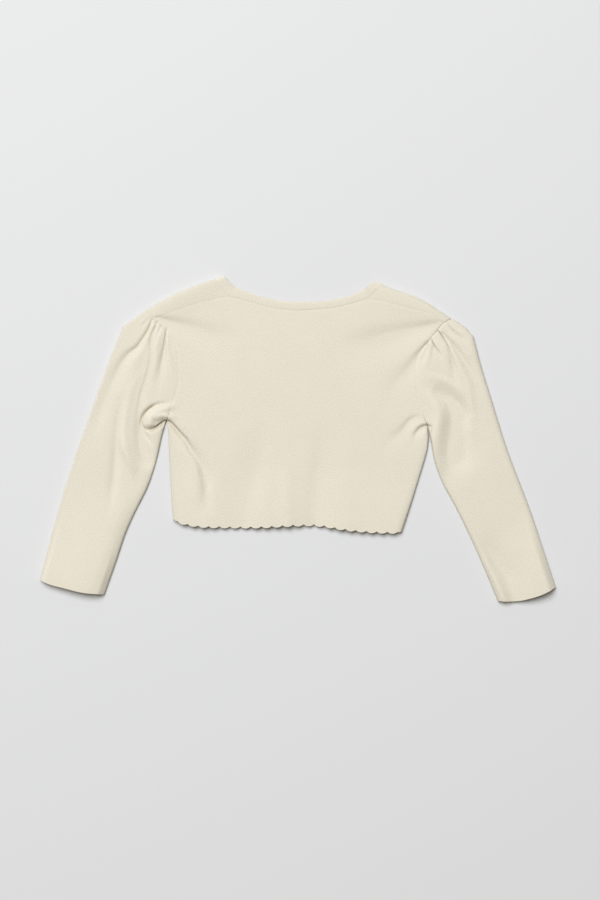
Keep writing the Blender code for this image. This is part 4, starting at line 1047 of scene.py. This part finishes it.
# The knit. Lengths are in millimetres, and the scales of noise are its repeats in one.
WALE, COURSE = 1.5, 1.1    # width and height of a stitch
STITCH_SLANT = 1.6         # how steeply the legs of a stitch run up to its sides
WOBBLE_SCALE, FLECK_SCALE, FUZZ_SCALE, DYE_SCALE = 0.06, 0.7, 2.2, 0.03
FUZZ_HEIGHT = 0.7          # of a stitch's height
STITCH_HEIGHT = 0.25
STITCH_STRENGTH = 0.6
CREAM = (0.80, 0.745, 0.615)
DEEP_TONE, PALE_TONE = 0.80, 1.03   # the cream's deepest and palest tones
STITCH_LIGHT, FLECK_LIGHT = 0.3, 2.2   # how much these lift the deep tone towards the cream
LIGHT_LOSS = 0.5           # so much of that is taken off again
DYE_SHARE = 0.5            # how far the palest dye goes towards the pale tone
# The grey of the painted shade along the folds.
FOLD_SHADE_TONE = (0.925, 0.925, 0.92, 1.0)
HOLLOW_SHADE_REACH = 7.0               # painted shade: where a hollow's walls are this close, the cloth is painted a deeper tone
HOLLOW_SHADE_SAMPLES = 6
HOLLOW_SHADE_POWER = 1.6         # above 1 only the deeper hollows take the painted shade
# The warm brown of the painted shade in the deepest hollows and creases.
PAINTED_HOLLOW_SHADE = (0.46, 0.35, 0.20, 1.0)
KNIT_FINISH = {"Roughness": 0.95, "Sheen Weight": 0.25, "Sheen Roughness": 0.5,
               "Specular IOR Level": 0.2}
BOARD_FINISH = {"Base Color": (0.71, 0.71, 0.708, 1.0), "Roughness": 0.8}


class Nodes:
    """Short ways to add shader nodes to a new material."""

    def __init__(self, name, finish):
        self.material = bpy.data.materials.new(name)
        self.material.use_nodes = True
        self.tree = self.material.node_tree
        self.shader = self.tree.nodes["Principled BSDF"]
        for socket, value in finish.items():
            self.shader.inputs[socket].default_value = value

    def new(self, kind, **settings):
        node = self.tree.nodes.new("ShaderNode" + kind)
        for setting, value in settings.items():
            setattr(node, setting, value)
        return node

    def link(self, value, socket):
        if isinstance(value, bpy.types.NodeSocket):
            self.tree.links.new(value, socket)
        else:
            socket.default_value = value

    def math(self, operation, *values):
        node = self.new("Math", operation=operation)
        for value, socket in zip(values, node.inputs):
            self.link(value, socket)
        return node.outputs[0]

    def times(self, first, second):
        return self.math("MULTIPLY", first, second)

    def plus(self, first, second):
        return self.math("ADD", first, second)

    def noise(self, place, scale, detail):
        node = self.new("TexNoise")
        node.inputs["Scale"].default_value = scale
        node.inputs["Detail"].default_value = detail
        self.link(place, node.inputs["Vector"])
        return node.outputs["Fac"]

    def mix(self, share, first, second, blend="MIX"):
        node = self.new("Mix", data_type="RGBA", blend_type=blend)
        self.link(share, node.inputs["Factor"])
        self.link(first, node.inputs["A"])
        self.link(second, node.inputs["B"])
        return node.outputs["Result"]

    def bump(self, height, distance, strength):
        node = self.new("Bump")
        node.inputs["Strength"].default_value = strength
        node.inputs["Distance"].default_value = distance
        self.link(height, node.inputs["Height"])
        return node.outputs["Normal"]


def toned(tone):
    """The cream in a deeper or paler tone."""
    return tuple(tone * part for part in CREAM) + (1.0,)


def stitches(nodes, place):
    """Columns of V stitches: 1 on their legs and 0 between the columns."""
    split = nodes.new("SeparateXYZ")
    nodes.link(place, split.inputs[0])
    wobble = nodes.noise(place, WOBBLE_SCALE, detail=1.0)
    across = nodes.plus(nodes.math("DIVIDE", split.outputs["X"], WALE), wobble)
    side = nodes.math("ABSOLUTE", nodes.math("SUBTRACT", nodes.math("FRACT", across), 0.5))
    along = nodes.plus(nodes.math("DIVIDE", split.outputs["Y"], COURSE),
                       nodes.times(side, STITCH_SLANT))
    leg = nodes.math("SINE", nodes.times(side, 2 * math.pi))
    row = nodes.math("SINE", nodes.times(nodes.math("FRACT", along), math.pi))
    return nodes.times(leg, nodes.plus(nodes.times(row, 0.5), 0.5))


def knit_material(name):
    """Fine plain knit: V stitch columns, a little fuzz, uneven cream dye, painted shade in folds
    and hollows.
    """
    nodes = Nodes(name, KNIT_FINISH)
    place = nodes.new("UVMap", uv_map="Knit").outputs["UV"]
    stitch = stitches(nodes, place)
    fuzz = nodes.noise(place, FUZZ_SCALE, detail=3.0)
    fleck = nodes.noise(place, FLECK_SCALE, detail=2.0)
    dye = nodes.noise(place, DYE_SCALE, detail=3.0)
    light = nodes.plus(nodes.times(stitch, STITCH_LIGHT), nodes.times(fleck, FLECK_LIGHT))
    light = nodes.math("SUBTRACT", light, LIGHT_LOSS)
    color = nodes.mix(light, toned(DEEP_TONE), toned(1.0))
    color = nodes.mix(nodes.times(dye, DYE_SHARE), color, toned(PALE_TONE))

    # Painted shade: the cloth greys towards its folds.
    fold_shade = nodes.new("Attribute", attribute_name="Wear").outputs["Fac"]
    color = nodes.mix(fold_shade, color, nodes.mix(1.0, color, FOLD_SHADE_TONE, "MULTIPLY"))
    # Painted shade: hollows and creases darken towards the warm brown where walls stand close.
    hollow_shade = nodes.new("AmbientOcclusion", samples=HOLLOW_SHADE_SAMPLES)
    hollow_shade.inputs["Distance"].default_value = HOLLOW_SHADE_REACH * MM
    shade_share = nodes.math("SUBTRACT", 1.0, hollow_shade.outputs["AO"])
    fully_shaded = nodes.mix(1.0, color, PAINTED_HOLLOW_SHADE, "MULTIPLY")
    color = nodes.mix(nodes.math("POWER", shade_share, HOLLOW_SHADE_POWER), color, fully_shaded)
    nodes.link(color, nodes.shader.inputs["Base Color"])
    height = nodes.plus(stitch, nodes.times(fuzz, FUZZ_HEIGHT))
    normal = nodes.bump(height, STITCH_HEIGHT * MM, STITCH_STRENGTH)
    nodes.link(normal, nodes.shader.inputs["Normal"])
    return nodes.material


# ---- The garment ----

# The cut of what shows of each piece, width and length in metres, and its flat area.
Cut = namedtuple("Cut", "width length area")


def dress():
    pieces = [make_back()]
    for side in (LEFT, RIGHT):
        pieces += [make_front(side), make_sleeve(side)]
    pieces += make_bands()
    for piece in pieces:
        node = piece.name.removesuffix(CLOTH_SUFFIX)
        piece.data.materials.append(knit_material(node))
        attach(piece, "root")
        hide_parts(node)


# ---- Board, light and camera ----

BOARD_SIZE = 6.0
KEY_PLACE = (-1.42, 2.62, 5.2)        # a wide soft lamp above the left shoulder, facing the middle
KEY_SIZE = 4.5
KEY_POWER = 402.0
KEY_COLOR = (0.992, 1.009, 1.055)
SKY_COLOR = (1.0, 0.94, 0.78, 1.0)
SKY_STRENGTH = 0.21
CAMERA_CENTRE = (0.00227, -0.01195)   # the middle of the photograph
CAMERA_LENS = 85.0
CAMERA_SENSOR = 36.0
VIEW_LENGTH = 0.945                   # what the photograph's long side spans


def make_board():
    mesh = bpy.data.meshes.new("board")
    half = BOARD_SIZE / 2
    corners = [(-half, -half, 0.0), (half, -half, 0.0), (half, half, 0.0), (-half, half, 0.0)]
    mesh.from_pydata(corners, [], [(0, 1, 2, 3)])
    mesh.materials.append(Nodes("painted_board", BOARD_FINISH).material)
    board = bpy.data.objects.new("board", mesh)
    bpy.context.scene.collection.objects.link(board)


def make_studio():
    light = bpy.data.lights.new("key", "AREA")
    light.shape = "DISK"
    light.size = KEY_SIZE
    light.energy = KEY_POWER
    light.color = KEY_COLOR
    lamp = bpy.data.objects.new("key", light)
    lamp.location = KEY_PLACE
    lamp.rotation_euler = (-Vector(KEY_PLACE)).to_track_quat("-Z", "Y").to_euler()
    bpy.context.scene.collection.objects.link(lamp)
    world = bpy.data.worlds.new("studio")
    world.use_nodes = True
    sky = world.node_tree.nodes["Background"].inputs
    sky["Color"].default_value = SKY_COLOR
    sky["Strength"].default_value = SKY_STRENGTH
    bpy.context.scene.world = world
    bpy.context.scene.view_settings.view_transform = "Standard"


def make_camera():
    camera = bpy.data.cameras.new("camera")
    camera.lens = CAMERA_LENS
    camera.sensor_width = CAMERA_SENSOR
    holder = bpy.data.objects.new("camera", camera)
    holder.location = (*CAMERA_CENTRE, VIEW_LENGTH / CAMERA_SENSOR * CAMERA_LENS)
    bpy.context.scene.collection.objects.link(holder)
    bpy.context.scene.camera = holder


make_board()
dress()
make_studio()
make_camera()
bpy.context.view_layer.update()
